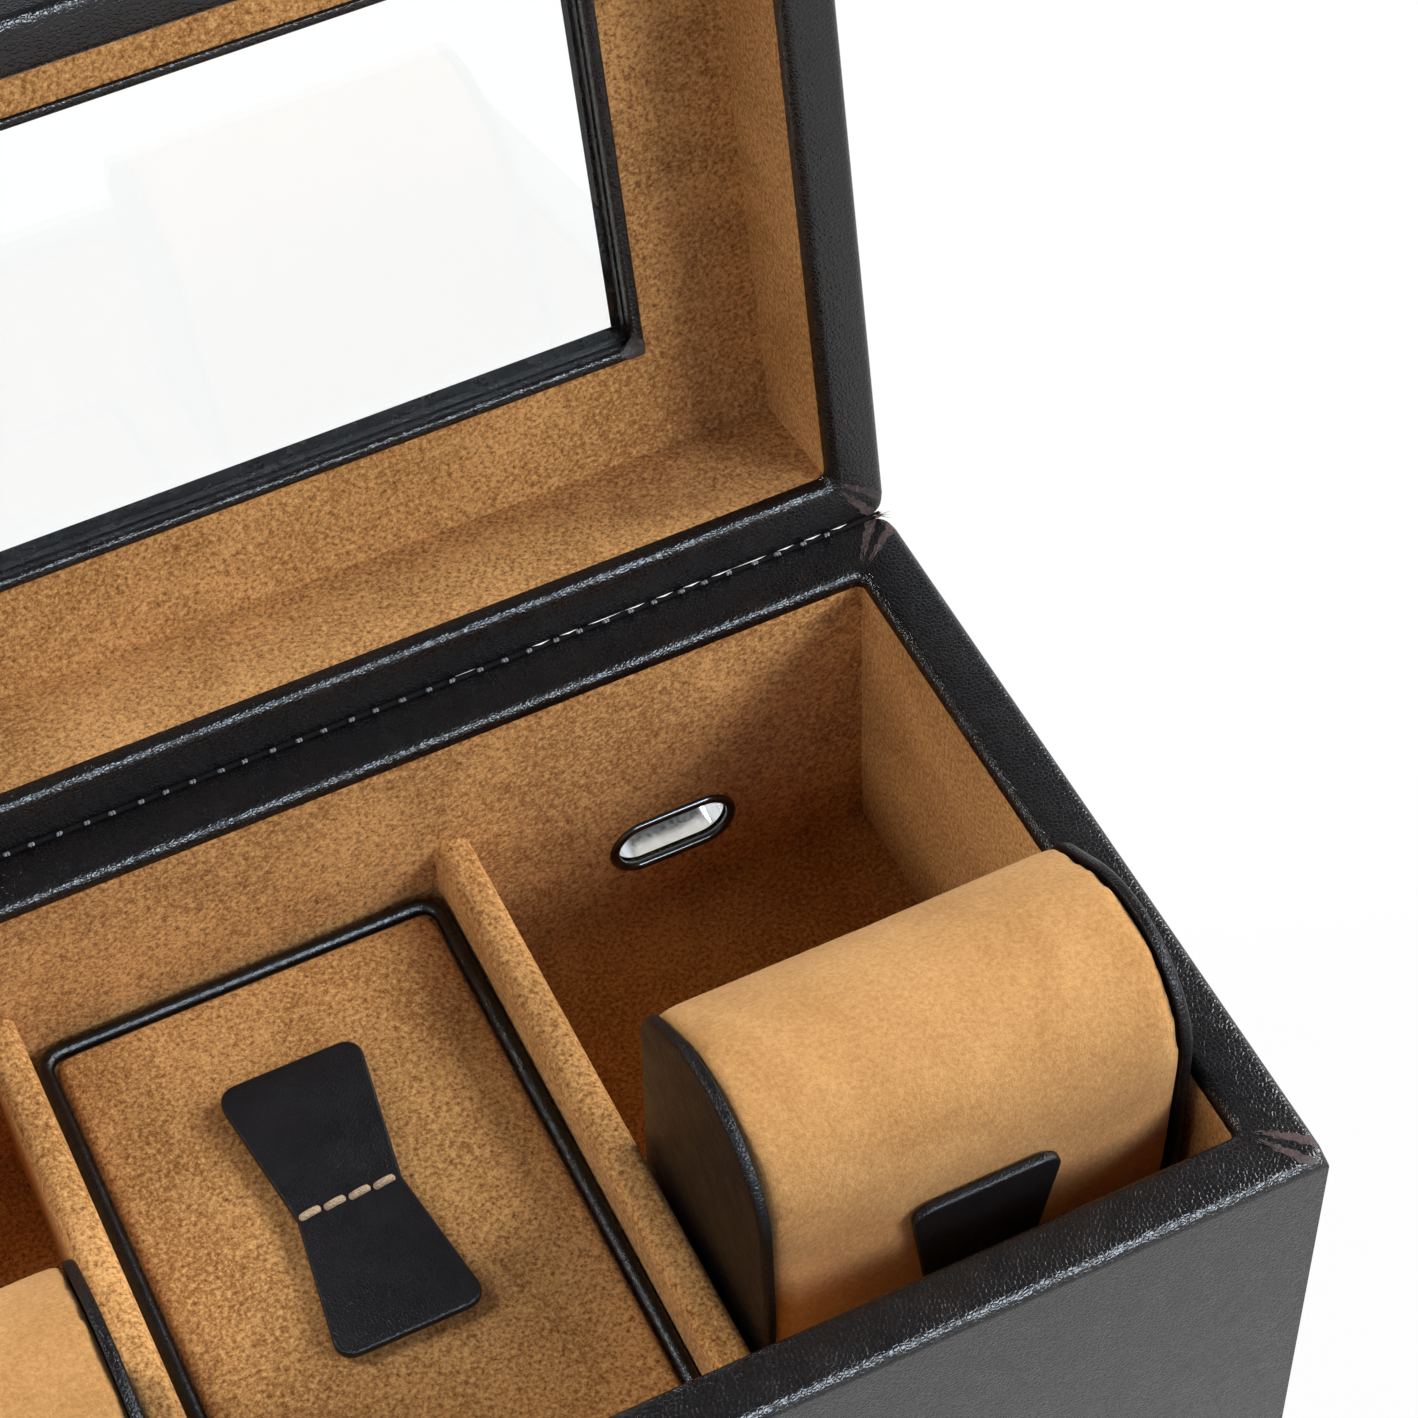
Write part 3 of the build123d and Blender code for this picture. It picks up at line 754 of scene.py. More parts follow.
sleeve_height = 8.9 * mm
rim_half = (slot_height - sleeve_height) / 4
for name, node, y in (
    ("slot_bead_inner", "slot_rim_inner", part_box("slot_rim_inner")[0].y + rim_half),
    ("slot_bead_outer", "slot_rim_outer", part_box("slot_rim_outer")[1].y - rim_half),
):
    bead = slot_outline(name, slot_length - 2 * rim_half, slot_height - 2 * rim_half, y)
    beaded(bead, rim_half)
    bead.data.materials.append(finishes["lacquer"])
    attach(bead, "case")
    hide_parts(node)
    print(name, "bead radius mm:", round(rim_half / mm, 2))

# %% [markdown]
# ## Padded pieces
#
# The cover and the cushions are foam under suede.  Cloth simulation gives such cloth its honest
# roundness: the plain shape is remeshed into small even faces, pressure blows it up from inside, and
# the points where the real cloth is glued or tucked are held.  No point may travel further than a
# small reach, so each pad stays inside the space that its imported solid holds.

# %% Blow up a padded piece


def puff(piece, voxel, pressure, reach, held, frames=20):
    """Remesh, blow up by cloth pressure with some points held, cap the travel and subdivide."""
    apply_modifier(piece, "REMESH", mode="VOXEL", voxel_size=voxel)
    starts = [corner.co.copy() for corner in piece.data.vertices]
    group = piece.vertex_groups.new(name="held")
    group.add([corner.index for corner in piece.data.vertices if held(corner.co)], 1.0, "REPLACE")
    only(piece)
    cloth = piece.modifiers.new("Cloth", "CLOTH")
    cloth.settings.vertex_group_mass = "held"
    cloth.settings.use_pressure = True
    cloth.settings.uniform_pressure_force = pressure
    cloth.settings.effector_weights.gravity = 0
    cloth.settings.quality = 6
    for step in range(1, frames + 1):
        bpy.context.scene.frame_set(step)
    bpy.ops.object.modifier_apply(modifier=cloth.name)
    bpy.context.scene.frame_set(1)
    furthest = 0
    for corner, start in zip(piece.data.vertices, starts):
        travel = corner.co - start
        furthest = max(furthest, travel.length)
        if travel.length > reach:
            corner.co = start + travel * (reach / travel.length)
    piece.vertex_groups.clear()
    print(piece.name, "moved up to", round(furthest / mm, 2), "mm, capped at", round(reach / mm, 2))
    apply_modifier(piece, "SUBSURF", levels=1, render_levels=1)
    smooth(piece, 80)


print("puff ready")

# %% [markdown]
# ## The padded cover of the middle bay
#
# A thin board carries a foam pad under suede, with a black leather cord sewn round it.  The pad starts
# as a low block with rounded corners.  Its underside and its border are held, so the pressure lifts
# only the top and gives it a crown that is steep beside the cord and nearly flat in the middle.

# %% Pad of the cover
pad_low, pad_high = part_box("cover_pad")
cord_low, cord_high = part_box("cover_piping")
cord_radius = (cord_high.z - cord_low.z) / 2
pad_swell = 1.9 * mm
pad_start = pad_high.copy()
pad_start.z = pad_high.z - pad_swell
cover_pad = block("suede_pad", pad_low, pad_start)
start_edit(cover_pad)
pick("edges", lambda edge: along(edge, 2))
bpy.ops.mesh.bevel(offset=3 * mm, segments=5)
pick("edges", lambda edge: middle(edge).z > pad_start.z - 0.1 * mm and not along(edge, 2))
bpy.ops.mesh.bevel(offset=1.1 * mm, segments=3)
end_edit()


def pad_is_held(place):
    depth = min(pad_high.x - abs(place.x), pad_high.y - abs(place.y), place.z - pad_low.z)
    return depth < 1.3 * mm


puff(cover_pad, 1.6 * mm, 9.0, pad_swell, pad_is_held)
print("pad top and packed pad, mm:", [round(v / mm, 2) for v in (top_of(cover_pad), pad_high.z)])

# %% [markdown]
# The tab is stitched through the pad at its waist, which pulls the suede down there.  Proportional
# editing moves the nearest points down and lets its pull fade out round them, as a finger would.

# %% Pull the pad down at the stitches
tab_low, tab_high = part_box("cover_tab")
tab_middle = (tab_low + tab_high) / 2
tab_pull = 1.0 * mm
start_edit(cover_pad)
found = pick("verts", lambda corner: corner.co.z > pad_low.z + 2 * mm and abs(corner.co.x) < 8 * mm
             and abs(corner.co.y - tab_middle.y) < 1.5 * mm)
bpy.ops.transform.translate(value=(0, 0, -tab_pull), use_proportional_edit=True,
                            proportional_edit_falloff="SMOOTH", proportional_size=13 * mm)
end_edit()
cover_pad.data.materials.append(tan_suede)
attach(cover_pad, "cover")
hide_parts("cover_pad")
print("points pulled down:", found)

# %% [markdown]
# The cord round the pad is a round black bead.  A flat rectangle with rounded corners gives its path.

# %% Cord round the cover
cord_corner = 3.65 * mm
deselect()
bpy.ops.mesh.primitive_plane_add(size=1, location=(0, 0, (cord_low.z + cord_high.z) / 2))
cover_cord = bpy.context.object
cover_cord.name = "cover_cord"
cover_cord.scale = (2 * (cord_high.x - cord_radius), 2 * (cord_high.y - cord_radius), 1)
apply_place()
start_edit(cover_cord)
pick("verts", lambda corner: True)
bpy.ops.mesh.bevel(affect="VERTICES", offset=cord_corner, segments=8)
pick("faces", lambda face: True)
bpy.ops.mesh.delete(type="ONLY_FACE")
pick("edges", lambda edge: edge.calc_length() > 20 * mm)
bpy.ops.mesh.subdivide(number_cuts=30)
end_edit()
beaded(cover_cord, cord_radius, 5)
cover_cord.data.materials.append(cord_hide)
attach(cover_cord, "cover")
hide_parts("cover_piping")
print("cord mm:", round(2 * cord_radius / mm, 2), "thick")

# %% [markdown]
# ## Bow-tie tabs
#
# Each tab is one thick piece of hide, wide and rounded at its ends and narrow at its waist.  Six
# corners give the outline, rounding the four outer ones gives the ends, and an extrusion gives the
# thickness.  Cuts across it let it bend: pressed down at the stitches, its ends stand off the pad.

# %% Cut a tab
tab_long = 51 * mm
tab_end = 24 * mm
tab_waist = 17 * mm
tab_thick = 1.6 * mm
tab_cuts = (0.05, 0.09, 0.13, 0.18, 0.24, 0.3, 0.36)


def cut_tab(name, lift):
    """A tab lying flat round the origin, its length along Y, with its ends lifted."""
    deselect()
    bpy.ops.mesh.primitive_plane_add(size=1)
    tab = bpy.context.object
    tab.name = name
    tab.scale = (tab_end, tab_long, 1)
    apply_place()
    start_edit(tab)
    pick("faces", lambda face: True)
    bpy.ops.mesh.bisect(plane_co=(0, 0, 0), plane_no=(0, 1, 0))
    pick("verts", lambda corner: abs(corner.co.y) < mm)
    bpy.ops.transform.resize(value=(tab_waist / tab_end, 1, 1))
    pick("verts", lambda corner: abs(corner.co.y) > mm)
    bpy.ops.mesh.bevel(affect="VERTICES", offset=3.4 * mm, segments=6)
    for share in (*(-cut for cut in reversed(tab_cuts)), *tab_cuts):
        pick("faces", lambda face: True)
        bpy.ops.mesh.bisect(plane_co=(0, share * tab_long, 0), plane_no=(0, 1, 0))
    pick("faces", lambda face: True)
    extrude(0, 0, tab_thick)
    end_edit()
    outward(tab)
    start_edit(tab)
    pick("edges", is_sharp)
    bpy.ops.mesh.bevel(offset=0.5 * mm, segments=3, profile=0.6)
    end_edit()
    for corner in tab.data.vertices:
        reach = abs(corner.co.y) / (tab_long / 2)
        corner.co.z += lift * reach ** 1.3
    return tab


def settle_in_box(piece, node):
    """Move a piece so that its box has the same middle as the node's box."""
    low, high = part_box(node)
    own_low, own_high = box_of([corner.co for corner in piece.data.vertices])
    move = (low + high) / 2 - (own_low + own_high) / 2
    only(piece)
    bpy.ops.transform.translate(value=move)
    apply_place()
    return move


cover_tab = cut_tab("cover_tab_hide", 1.3 * mm)
settle_in_box(cover_tab, "cover_tab")
only(cover_tab)
bpy.ops.transform.translate(value=(0, 0, -0.35 * mm))
apply_place()
smooth(cover_tab, 50)
cover_tab.data.materials.append(tab_hide)
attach(cover_tab, "cover")
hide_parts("cover_tab")
print("tab top mm:", round(top_of(cover_tab) / mm, 2))

# %% [markdown]
# Four saddle stitches in tan thread cross the waist.  One stitch is modelled: a short cylinder with
# narrowed ends that dips into the hide.  The others are copies of it.

# %% Saddle stitches
stitch_long = 3.7 * mm
stitch_step = 4.0 * mm
stitch_radius = 0.62 * mm


def one_stitch(name, length, radius, dip):
    """A stitch along X round the origin, whose ends sink by dip."""
    deselect()
    bpy.ops.mesh.primitive_cylinder_add(vertices=12, radius=radius, depth=length,
                                        rotation=(0, math.pi / 2, 0))
    stitch = bpy.context.object
    stitch.name = name
    apply_place()
    start_edit(stitch)
    for share in (-0.42, -0.28, -0.1, 0.1, 0.28, 0.42):
        bpy.ops.mesh.select_all(action="SELECT")
        bpy.ops.mesh.bisect(plane_co=(share * length, 0, 0), plane_no=(1, 0, 0))
    pick("verts", lambda corner: abs(corner.co.x) > 0.45 * length)
    bpy.ops.transform.resize(value=(1, 0.45, 0.45))
    end_edit()
    for corner in stitch.data.vertices:
        corner.co.z -= dip * (abs(corner.co.x) / (length / 2)) ** 3
    smooth(stitch, 60)
    return stitch


def copies(piece, places, name):
    """Copy a piece to each place and join the copies into one."""
    whole = join([copy_at(piece, place) for place in places], name)
    apply_place()
    bpy.data.objects.remove(piece)
    return whole


waist_top = max(corner.co.z for corner in cover_tab.data.vertices
                if abs(corner.co.y - tab_middle.y) < 2 * mm)
stitch = one_stitch("stitch", stitch_long, stitch_radius, 0.45 * mm)
first_x = -0.3 * mm - 1.5 * stitch_step
places = [Matrix.Translation((first_x + step * stitch_step, tab_middle.y, waist_top + 0.12 * mm))
          @ Matrix.Rotation(math.radians(7), 4, "Z") for step in range(4)]
tab_stitches = copies(stitch, places, "tab_stitches")
tab_stitches.data.materials.append(tan_thread)
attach(tab_stitches, "cover")
print("stitches:", len(places))

# %% [markdown]
# ## Watch cushions
#
# A watch cushion is a foam block with a D-shaped section: a flat back, and a rounded front that a
# strap goes round.  It leans forward a little in its bay.  The section is drawn as a plate with seven
# corners, its corners are rounded, and it is then extruded to the length.  Leather caps close both
# ends.  Body and caps share the drawing, so the caps fit the body.

# %% Section of a cushion
caps_low, caps_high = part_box("cushion_left_caps")
cushion_long = caps_high.x - caps_low.x
cap_thick = 1.8 * mm
cap_lip = 0.4 * mm
half_back = 29.2 * mm
half_high = 41.7 * mm
shoulder_start = 16 * mm
shoulder_end = 37.5 * mm
cushion_thick = 40.5 * mm
section_cuts = {0: 4.9 * mm, shoulder_start: 6.2 * mm, shoulder_end: 14.8 * mm, cushion_thick: 8.8 * mm}
lean = math.radians(3.5)


def cushion_block(name, length, grow, segments):
    """A block with the cushion's section, its back at y 0, its length along X."""
    deselect()
    bpy.ops.mesh.primitive_circle_add(vertices=7, radius=1, fill_type="NGON",
                                      rotation=(0, math.pi / 2, 0))
    piece = bpy.context.object
    piece.name = name
    apply_place()
    outline = [(0, half_back), (-shoulder_start, half_high), (-shoulder_end, half_high),
               (-cushion_thick, 0),
               (-shoulder_end, -half_high), (-shoulder_start, -half_high), (0, -half_back)]
    spots = sorted(piece.data.vertices,
                   key=lambda corner: math.atan2(corner.co.z, corner.co.y) % (2 * math.pi))
    for corner, (y, z) in zip(spots, outline):
        corner.co = (-length / 2, y, z)
    start_edit(piece)
    for depth, cut in section_cuts.items():
        pick("verts", lambda corner: abs(corner.co.y + depth) < 0.01 * mm)
        bpy.ops.mesh.bevel(affect="VERTICES", offset=cut, segments=segments)
    pick("faces", lambda face: True)
    extrude(length, 0, 0)
    end_edit()
    outward(piece)
    if grow:
        centre = Vector((0, -cushion_thick / 2, 0))
        for corner in piece.data.vertices:
            away = corner.co - centre
            corner.co.y += grow * away.y / (cushion_thick / 2)
            corner.co.z += grow * away.z / half_high
    return piece


def lean_forward(piece):
    """Lean the piece to the front, as it stands in its bay."""
    only(piece)
    bpy.ops.transform.rotate(value=-lean, orient_axis="X", center_override=(0, 0, 0))
    apply_place()


print("cushion length mm:", round(cushion_long / mm, 1))

# %% [markdown]
# The caps are stiff card under hide.  Their outer edge is rolled over, so it is rounded more than the
# edge on the suede.  Each pair of caps is one piece that rides on its cushion.

# %% Leather caps
cap_moves = {}
for side in ("left", "right"):
    pair = []
    for end in (-1, 1):
        cap = cushion_block(f"cap_{side}", cap_thick, cap_lip, 8)
        start_edit(cap)
        for outwards, radius, segments in ((end, 0.9 * mm, 4), (-end, 0.3 * mm, 2)):
            pick("edges", lambda edge: is_sharp(edge) and middle(edge).x * outwards > 0)
            bpy.ops.mesh.bevel(offset=radius, segments=segments)
        end_edit()
        only(cap)
        bpy.ops.transform.translate(value=(end * (cushion_long - cap_thick) / 2, 0, 0))
        apply_place()
        pair.append(cap)
    caps = join(pair, f"cushion_{side}_cap_hide")
    lean_forward(caps)
    cap_moves[side] = settle_in_box(caps, f"cushion_{side}_caps")
    smooth(caps, 50)
    caps.data.materials.append(cap_hide)
    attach(caps, f"watch_cushion_{side}")
    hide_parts(f"cushion_{side}_caps")
    print(caps.name, len(caps.data.polygons), "faces")

# %% [markdown]
# The foam is a little fuller than the card, so the suede stands proud of the caps along the top and the
# back.  It swells between the caps, where it is glued, and it is flat only underneath, where it stands.

# %% Suede bodies
body_long = cushion_long - 2 * cap_thick
glued = 1.5 * mm
bay_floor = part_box("bay_floor_linings")[1].z
for side in ("left", "right"):
    body = cushion_block(f"cushion_{side}_suede", body_long, 0.5 * mm, 6)
    puff(body, 2.4 * mm, 9.0, 0.6 * mm, lambda place: abs(place.x) > body_long / 2 - glued)
    lean_forward(body)
    only(body)
    bpy.ops.transform.translate(value=cap_moves[side])
    apply_place()
    for corner in body.data.vertices:
        corner.co.z = max(corner.co.z, bay_floor + 0.15 * mm)
    body.data.materials.append(cushion_suede)
    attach(body, f"watch_cushion_{side}")
    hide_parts(f"cushion_{side}")
    print(body.name, "top mm:", round(top_of(body) / mm, 2))

# %% Tabs on the cushions
for side in ("left", "right"):
    tab = cut_tab(f"cushion_{side}_tab_hide", 0.0)
    only(tab)
    bpy.ops.transform.rotate(value=-math.pi / 2, orient_axis="X", center_override=(0, 0, 0))
    apply_place()
    lean_forward(tab)
    settle_in_box(tab, f"cushion_{side}_tab")
    smooth(tab, 50)
    tab.data.materials.append(tab_hide)
    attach(tab, f"watch_cushion_{side}")
    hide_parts(f"cushion_{side}_tab")
print("tabs on both cushions")

# %% [markdown]
# ## The sewn seam
#
# Case and lid are held together edge to edge.  Their hides meet on the hinge line, where they are folded
# into a thin welt.  Near the right and left ends the welt has worked open, and between the stitches a
# little light comes through.  The welt is a thin rod on the hinge line, so it looks the same however
# far the lid is turned.  Where it is open, the rod is thinner half way between two stitches.

# %% Welt on the hinge line
seam_low, seam_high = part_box("hinge_stitches")
seam_pitch = 4.3 * mm
seam_count = int(round((seam_high.x - seam_low.x) / seam_pitch)) + 1
welt_long = 238.6 * mm
welt_radius = 0.5 * mm
open_stretches = ((45.4 * mm, 49.6 * mm), (56.3 * mm, 112.6 * mm))
deselect()
bpy.ops.mesh.primitive_cylinder_add(vertices=10, radius=1, depth=welt_long,
                                    rotation=(0, math.pi / 2, 0))
welt = bpy.context.object
apply_place()
welt.name = "seam_welt"
start_edit(welt)
pick("edges", lambda edge: along(edge, 0))
bpy.ops.mesh.subdivide(number_cuts=440)
end_edit()
for corner in welt.data.vertices:
    between_stitches = abs(math.sin(math.pi * (corner.co.x / seam_pitch + (seam_count - 1) / 2)))
    worked_open = any(start < abs(corner.co.x) < end for start, end in open_stretches)
    slit = max(0.0, (between_stitches - 0.45) / 0.55) ** 0.7 if worked_open else 0.0
    thick = welt_radius - 0.17 * slit * mm
    corner.co.y = hinge_line.y + corner.co.y * thick - 0.17 * slit * mm
    corner.co.z = hinge_line.z + corner.co.z * thick - 0.12 * slit * mm
smooth(welt, 60)
welt.data.materials.append(welt_hide)
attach(welt, "case")
print("welt mm long:", round(welt_long / mm, 1))

# %% [markdown]
# Each stitch is a pair of short strands of waxed thread across the welt.  They are small and sunk,
# and the painted highlight in their dark thread makes each one a pale knot from afar.  One strand is
# modelled and copied along the seam, and a sine of the count turns each one a little differently, as
# hand sewing does.

# %% Stitches of the seam
seam_stitch = one_stitch("seam_stitch", 1.2 * mm, 0.27 * mm, 0.25 * mm)
places = []
for step in range(seam_count):
    x = (step - (seam_count - 1) / 2) * seam_pitch
    wobble = math.sin(step * 2.4) * 0.22 * mm
    turn = math.radians(90 + 16 * math.sin(step * 1.7))
    across = Matrix.Rotation(math.radians(-50), 4, "X") @ Matrix.Rotation(turn, 4, "Z")
    for strand in (-0.22, 0.22):
        spot = hinge_line + Vector((x + wobble + strand * mm, -0.38 * mm, 0.46 * mm))
        places.append(Matrix.Translation(spot) @ across)
seam = copies(seam_stitch, places, "seam_thread")
seam.data.materials.append(dark_thread)
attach(seam, "case")
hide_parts("hinge_stitches")
print("seam stitches:", seam_count)

# %% [markdown]
# ## Folded corners
#
# A flat hide can't go round a corner of the rim.  It is slit along the mitre, one side is tucked under
# the other, and the raw brown edges of the slit show on both sides of the fold.  Each fold and each raw
# edge is a thin tongue that follows the rim: a grid is tapered, laid over the corner, and the Shrinkwrap
# modifier presses it on to the wrap.  Solidify gives it the thickness of skived hide.

# %% Tongues over the corners of both rims
turn_open = turn_shut.inverted()


def tongue(name, width, tip, length, ragged):
    """A thin flat tongue from the origin along Y, with an uneven end."""
    deselect()
    bpy.ops.mesh.primitive_grid_add(x_subdivisions=6, y_subdivisions=22, size=1)
    piece = bpy.context.object
    piece.name = name
    for corner in piece.data.vertices:
        share = corner.co.y + 0.5
        wide = width + (tip - width) * share
        rough = ragged * (math.sin(corner.co.x * 23) + math.sin(corner.co.x * 9 + 1)) * share ** 3
        wave = 0.12 * mm * math.sin(share * 17) + 0.1 * mm * math.sin(share * 31 + 2)
        corner.co = (corner.co.x * wide + wave, share * length + rough, 0)
    return piece


def pressed_on(piece, place, wrap, proud, thick):
    """Lay a copy of the sheet at a place and press it on to a wrap."""
    twin = copy_at(piece, place)
    only(twin)
    apply_place()
    apply_modifier(twin, "SHRINKWRAP", target=wrap, wrap_method="NEAREST_SURFACEPOINT",
                   wrap_mode="ABOVE_SURFACE", offset=proud)
    apply_modifier(twin, "SOLIDIFY", thickness=thick, offset=-1)
    return twin


def trim(pieces, name, finish, body):
    """Join pieces that ride on one body and share one finish."""
    whole = join(pieces, name)
    smooth(whole, 50)
    whole.data.materials.append(finish)
    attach(whole, body)


corner_signs = ((-1, -1), (1, -1), (1, 1), (-1, 1))
fold = tongue("fold", 3.6 * mm, 1.3 * mm, 12.0 * mm, 0.4 * mm)
raw_edge = tongue("raw_edge", 1.8 * mm, 0.7 * mm, 8.5 * mm, 0.9 * mm)
for name, wrap, body, height, turned_open in (
    ("case", case_wrap, "case", case_high.z + 0.3 * mm, Matrix.Identity(4)),
    ("lid", lid_wrap, "lid", lid_low.z - 0.3 * mm, turn_open),
):
    folds, edges = [], []
    for x, y in corner_signs:
        heading = math.atan2(-y, -x) - math.pi / 2
        outer = Vector((x * (case_high.x - 1.0 * mm), y * (case_high.y - 1.0 * mm), height))
        over = Matrix.Rotation(math.pi if body == "lid" else 0, 4, "Y")
        place = turned_open @ Matrix.Translation(outer) @ Matrix.Rotation(heading, 4, "Z") @ over
        folds.append(pressed_on(fold, place, wrap, 0.05 * mm, 0.25 * mm))
        for shift, start, turn in ((2.0, 0.8, 7), (-1.7, 0.2, -9)):
            beside = (place @ Matrix.Translation((shift * mm, start * mm, 0))
                      @ Matrix.Rotation(math.radians(turn), 4, "Z"))
            edges.append(pressed_on(raw_edge, beside, wrap, 0.06 * mm, 0.2 * mm))
    trim(folds, f"{name}_corner_folds", hide, body)
    trim(edges, f"{name}_corner_edges", cut_edge, body)
bpy.data.objects.remove(fold)
bpy.data.objects.remove(raw_edge)
print("folds on four corners of the case and of the lid")

# %% [markdown]
# At the window the strip is notched and gathered round each corner, so a small rounded patch of paler,
# stretched hide shows there.  It is a short tongue pressed on to the roll.

# %% Patches at the corners of the window
patch = tongue("patch", 4.4 * mm, 3.4 * mm, 4.6 * mm, 0.3 * mm)
patches = []
upside_down = Matrix.Rotation(math.pi, 4, "Y")
for x, y in corner_signs:
    heading = math.atan2(-y, -x) - math.pi / 2
    outer = Vector((x * (window_half.x - 0.4 * mm), window_middle.y + y * (window_half.y - 0.4 * mm),
                    window_low.z - 0.2 * mm))
    place = turn_open @ Matrix.Translation(outer) @ Matrix.Rotation(heading, 4, "Z") @ upside_down
    patches.append(pressed_on(patch, place, window_edge, 0.12 * mm, 0.3 * mm))
trim(patches, "window_corner_patches", cut_edge, "lid")
bpy.data.objects.remove(patch)
print("patches:", len(patches))

# %% [markdown]
# Where the seam ends, the hides are cut and their fibres and the thread's end stand out as a small
# tan brush.  One fibre is a thin cone; a fan of copies makes the brush.

# %% Frayed ends of the seam
frays = []
for x in (-1, 1):
    root = hinge_line + Vector((x * (case_high.x - hinge_line.x - 1.9 * mm), -0.4 * mm, 0.25 * mm))
    for step in range(16):
        spread = math.radians(-62 + 8.2 * step)
        tilt = math.radians(38 + 16 * math.sin(step * 2.1))
        deselect()
        bpy.ops.mesh.primitive_cone_add(vertices=5, radius1=0.085 * mm, radius2=0.02 * mm,
                                        depth=(1.9 + 0.6 * math.sin(step * 1.3)) * mm)
        fibre = bpy.context.object
        start_edit(fibre)
        pick("edges", lambda edge: abs(edge.verts[0].co.z - edge.verts[1].co.z) > mm)
        bpy.ops.mesh.subdivide(number_cuts=2)
        end_edit()
        for corner in fibre.data.vertices:
            corner.co.z += 0.95 * mm
            corner.co.x += 120 * corner.co.z ** 2 * math.sin(step)
        fibre.matrix_world = (Matrix.Translation(root) @ Matrix.Rotation(-spread, 4, "Y")
                              @ Matrix.Rotation(tilt, 4, "X"))
        only(fibre)
        apply_place()
        frays.append(fibre)
trim(frays, "seam_frays", fray, "case")
print("fibres:", len(frays))

# %% [markdown]
# ## The leather on the drawer front
#
# The drawer front is a board with the same hide glued on.  A flat block with its front edges rounded is
# enough, because the board hides its back.

# %% Wrap the drawer front
face_low, face_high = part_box("drawer_front_leather")
drawer_face = block("drawer_face", face_low, face_high)
start_edit(drawer_face)
pick("edges", lambda edge: middle(edge).y < face_low.y + 0.1 * mm)
bpy.ops.mesh.bevel(offset=1.1 * mm, segments=5)
end_edit()
smooth(drawer_face)
drawer_face.data.materials.append(hide)
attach(drawer_face, "drawer")
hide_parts("drawer_front_leather")
print("drawer face mm:", [round(v / mm, 1) for v in face_high - face_low])

# %% [markdown]
# ## Camera
#
# The camera was fitted to the photographed edges of the bay.  It stands in front of the box, a little
# to the left, and looks down at 52 degrees.  Its three directions are written as unit vectors.

# %% Camera
right = Vector((0.901, -0.433, -0.034)).normalized()
forward = Vector((0.244, 0.569, -0.785)).normalized()
up = right.cross(forward).normalized()
right = forward.cross(up).normalized()
camera_data = bpy.data.cameras.new("camera")
camera_data.sensor_width = 36
camera_data.lens = 94.28
camera_data.clip_start = 0.01
camera = bpy.data.objects.new("camera", camera_data)
bpy.context.collection.objects.link(camera)
camera.matrix_world = Matrix((
    (right.x, up.x, -forward.x, -0.0608),
    (right.y, up.y, -forward.y, -0.2796),
    (right.z, up.z, -forward.z, 0.5590),
    (0, 0, 0, 1),
))
bpy.context.scene.camera = camera
bpy.context.scene.view_settings.view_transform = "Standard"
print("lens mm:", camera_data.lens)

# %% [markdown]
# ## Floor, room and lamps
#
# The room is plain white with a dim ceiling.  The floor and the walls look white to the camera and, a
# little cooler, in reflections, which gives the hide its pale sheen, while the light that they shed
# stays low.  A key lamp at the front right and a second one at the right light the cushions and leave
# the bay in shade, and lamps at the rear left, the left and the front fill in the pads.  The sixth, the
# edge lamp, is seen only in reflections: it draws the thin bright lines along the rolled edges.

# %% Floor
deselect()
bpy.ops.mesh.primitive_plane_add(size=12, location=(0, 0, -0.0004))
floor = bpy.context.object
floor.name = "floor"
floor_finish = Finish("pale_floor", Roughness=0.8, Specular_IOR_Level=0.1)
floor_tone = floor_finish.mixed(floor_finish.noise(3, 3), (0.84, 0.845, 0.85, 1), (0.88, 0.885, 0.89, 1))
floor_finish.send(Base_Color=floor_tone)
tree = floor_finish.tree


def seen_directly(nodes, links):
    """1 for camera, glossy and transmission rays, and 0 for the rays that carry light."""
    path = nodes.new("ShaderNodeLightPath")
    seen = path.outputs["Is Camera Ray"]
    for kind in ("Is Glossy Ray", "Is Transmission Ray"):
        either = nodes.new("ShaderNodeMath")
        either.operation = "MAXIMUM"
        links.new(seen, either.inputs[0])
        links.new(path.outputs[kind], either.inputs[1])
        seen = either.outputs[0]
    return seen


glow = tree.nodes.new("ShaderNodeEmission")
glow.inputs["Color"].default_value = (1, 1, 1, 1)
share = tree.nodes.new("ShaderNodeMath")
share.operation = "MULTIPLY"
share.inputs[1].default_value = 0.93
tree.links.new(seen_directly(tree.nodes, tree.links), share.inputs[0])
blend_floor = tree.nodes.new("ShaderNodeMixShader")
tree.links.new(share.outputs[0], blend_floor.inputs[0])
tree.links.new(floor_finish.shader.outputs[0], blend_floor.inputs[1])
tree.links.new(glow.outputs[0], blend_floor.inputs[2])
tree.links.new(blend_floor.outputs[0], tree.nodes["Material Output"].inputs["Surface"])
floor.data.materials.append(floor_finish.material)
print("floor:", floor_finish.material.name)

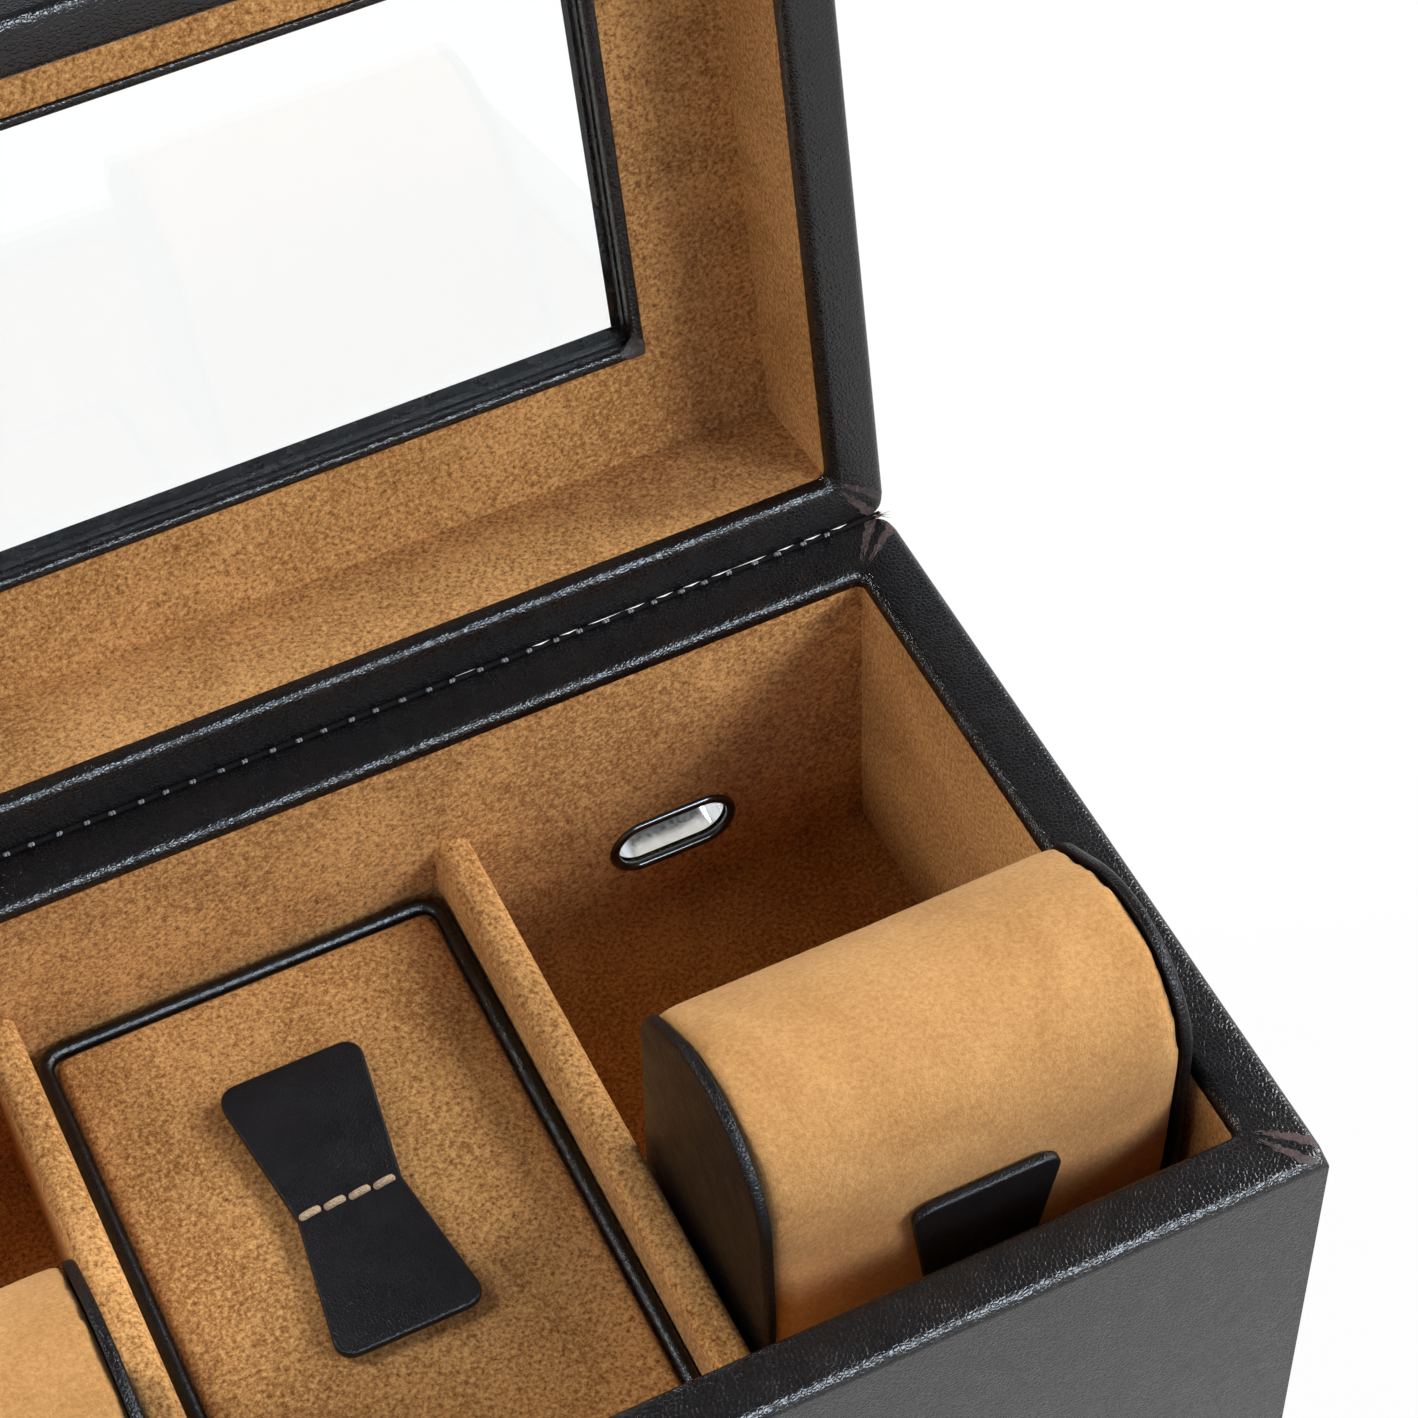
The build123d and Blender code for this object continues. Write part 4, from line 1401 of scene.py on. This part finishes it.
# %% World
room_light = 0.015
ceiling_seen = 0.25
world = bpy.data.worlds.new("white_room")
world.use_nodes = True
bpy.context.scene.world = world
room = world.node_tree
background = room.nodes["Background"]
cool = room.nodes.new("ShaderNodeMix")
cool.data_type = "RGBA"
cool.inputs[6].default_value = (1, 1, 1, 1)
cool.inputs[7].default_value = (0.84, 0.92, 1, 1)
room.links.new(room.nodes.new("ShaderNodeLightPath").outputs["Is Glossy Ray"], cool.inputs[0])
room.links.new(cool.outputs[2], background.inputs["Color"])
direction = room.nodes.new("ShaderNodeTexCoord")
height = room.nodes.new("ShaderNodeSeparateXYZ")
room.links.new(direction.outputs["Generated"], height.inputs[0])
wall = room.nodes.new("ShaderNodeMapRange")
for socket, value in {"From Min": 0.3, "From Max": 0.72, "To Min": 1.0, "To Max": ceiling_seen}.items():
    wall.inputs[socket].default_value = value
room.links.new(height.outputs["Z"], wall.inputs["Value"])
level = room.nodes.new("ShaderNodeMapRange")
level.inputs["To Min"].default_value = room_light
room.links.new(wall.outputs[0], level.inputs["To Max"])
room.links.new(seen_directly(room.nodes, room.links), level.inputs["Value"])
room.links.new(level.outputs[0], background.inputs["Strength"])
print("floor and walls are white, the ceiling is dim")

# %% Lamps


aim_at = Vector((0.02, 0.0, 0.1))


def lamp(name, place, power, size=(0.45, 0.45), tint=(1, 1, 1)):
    """An area lamp that looks at the middle of the box, with its power in watts."""
    data = bpy.data.lights.new(name, "AREA")
    data.shape = "RECTANGLE"
    data.size, data.size_y = size
    data.energy = power
    data.color = tint
    source = bpy.data.objects.new(name, data)
    bpy.context.collection.objects.link(source)
    aim = (aim_at - Vector(place)).to_track_quat("-Z", "Y")
    source.matrix_world = Matrix.Translation(place) @ aim.to_matrix().to_4x4()
    return source


lamp("key_lamp", (0.85, -0.8, 0.75), 10.0)
lamp("side_lamp", (1.15, 0.0, 0.75), 14.0)
lamp("back_lamp", (-0.75, 0.6, 1.0), 11.0)
lamp("left_lamp", (-1.2, 0.0, 0.56), 4.5)
lamp("front_lamp", (-0.15, -1.1, 0.8), 1.5)
edge_lamp = lamp("edge_lamp", (0.34, -0.95, 1.0), 32.0, (1.0, 0.32), (0.72, 0.86, 1.0))
edge_lamp.visible_diffuse = False
print("six lamps")
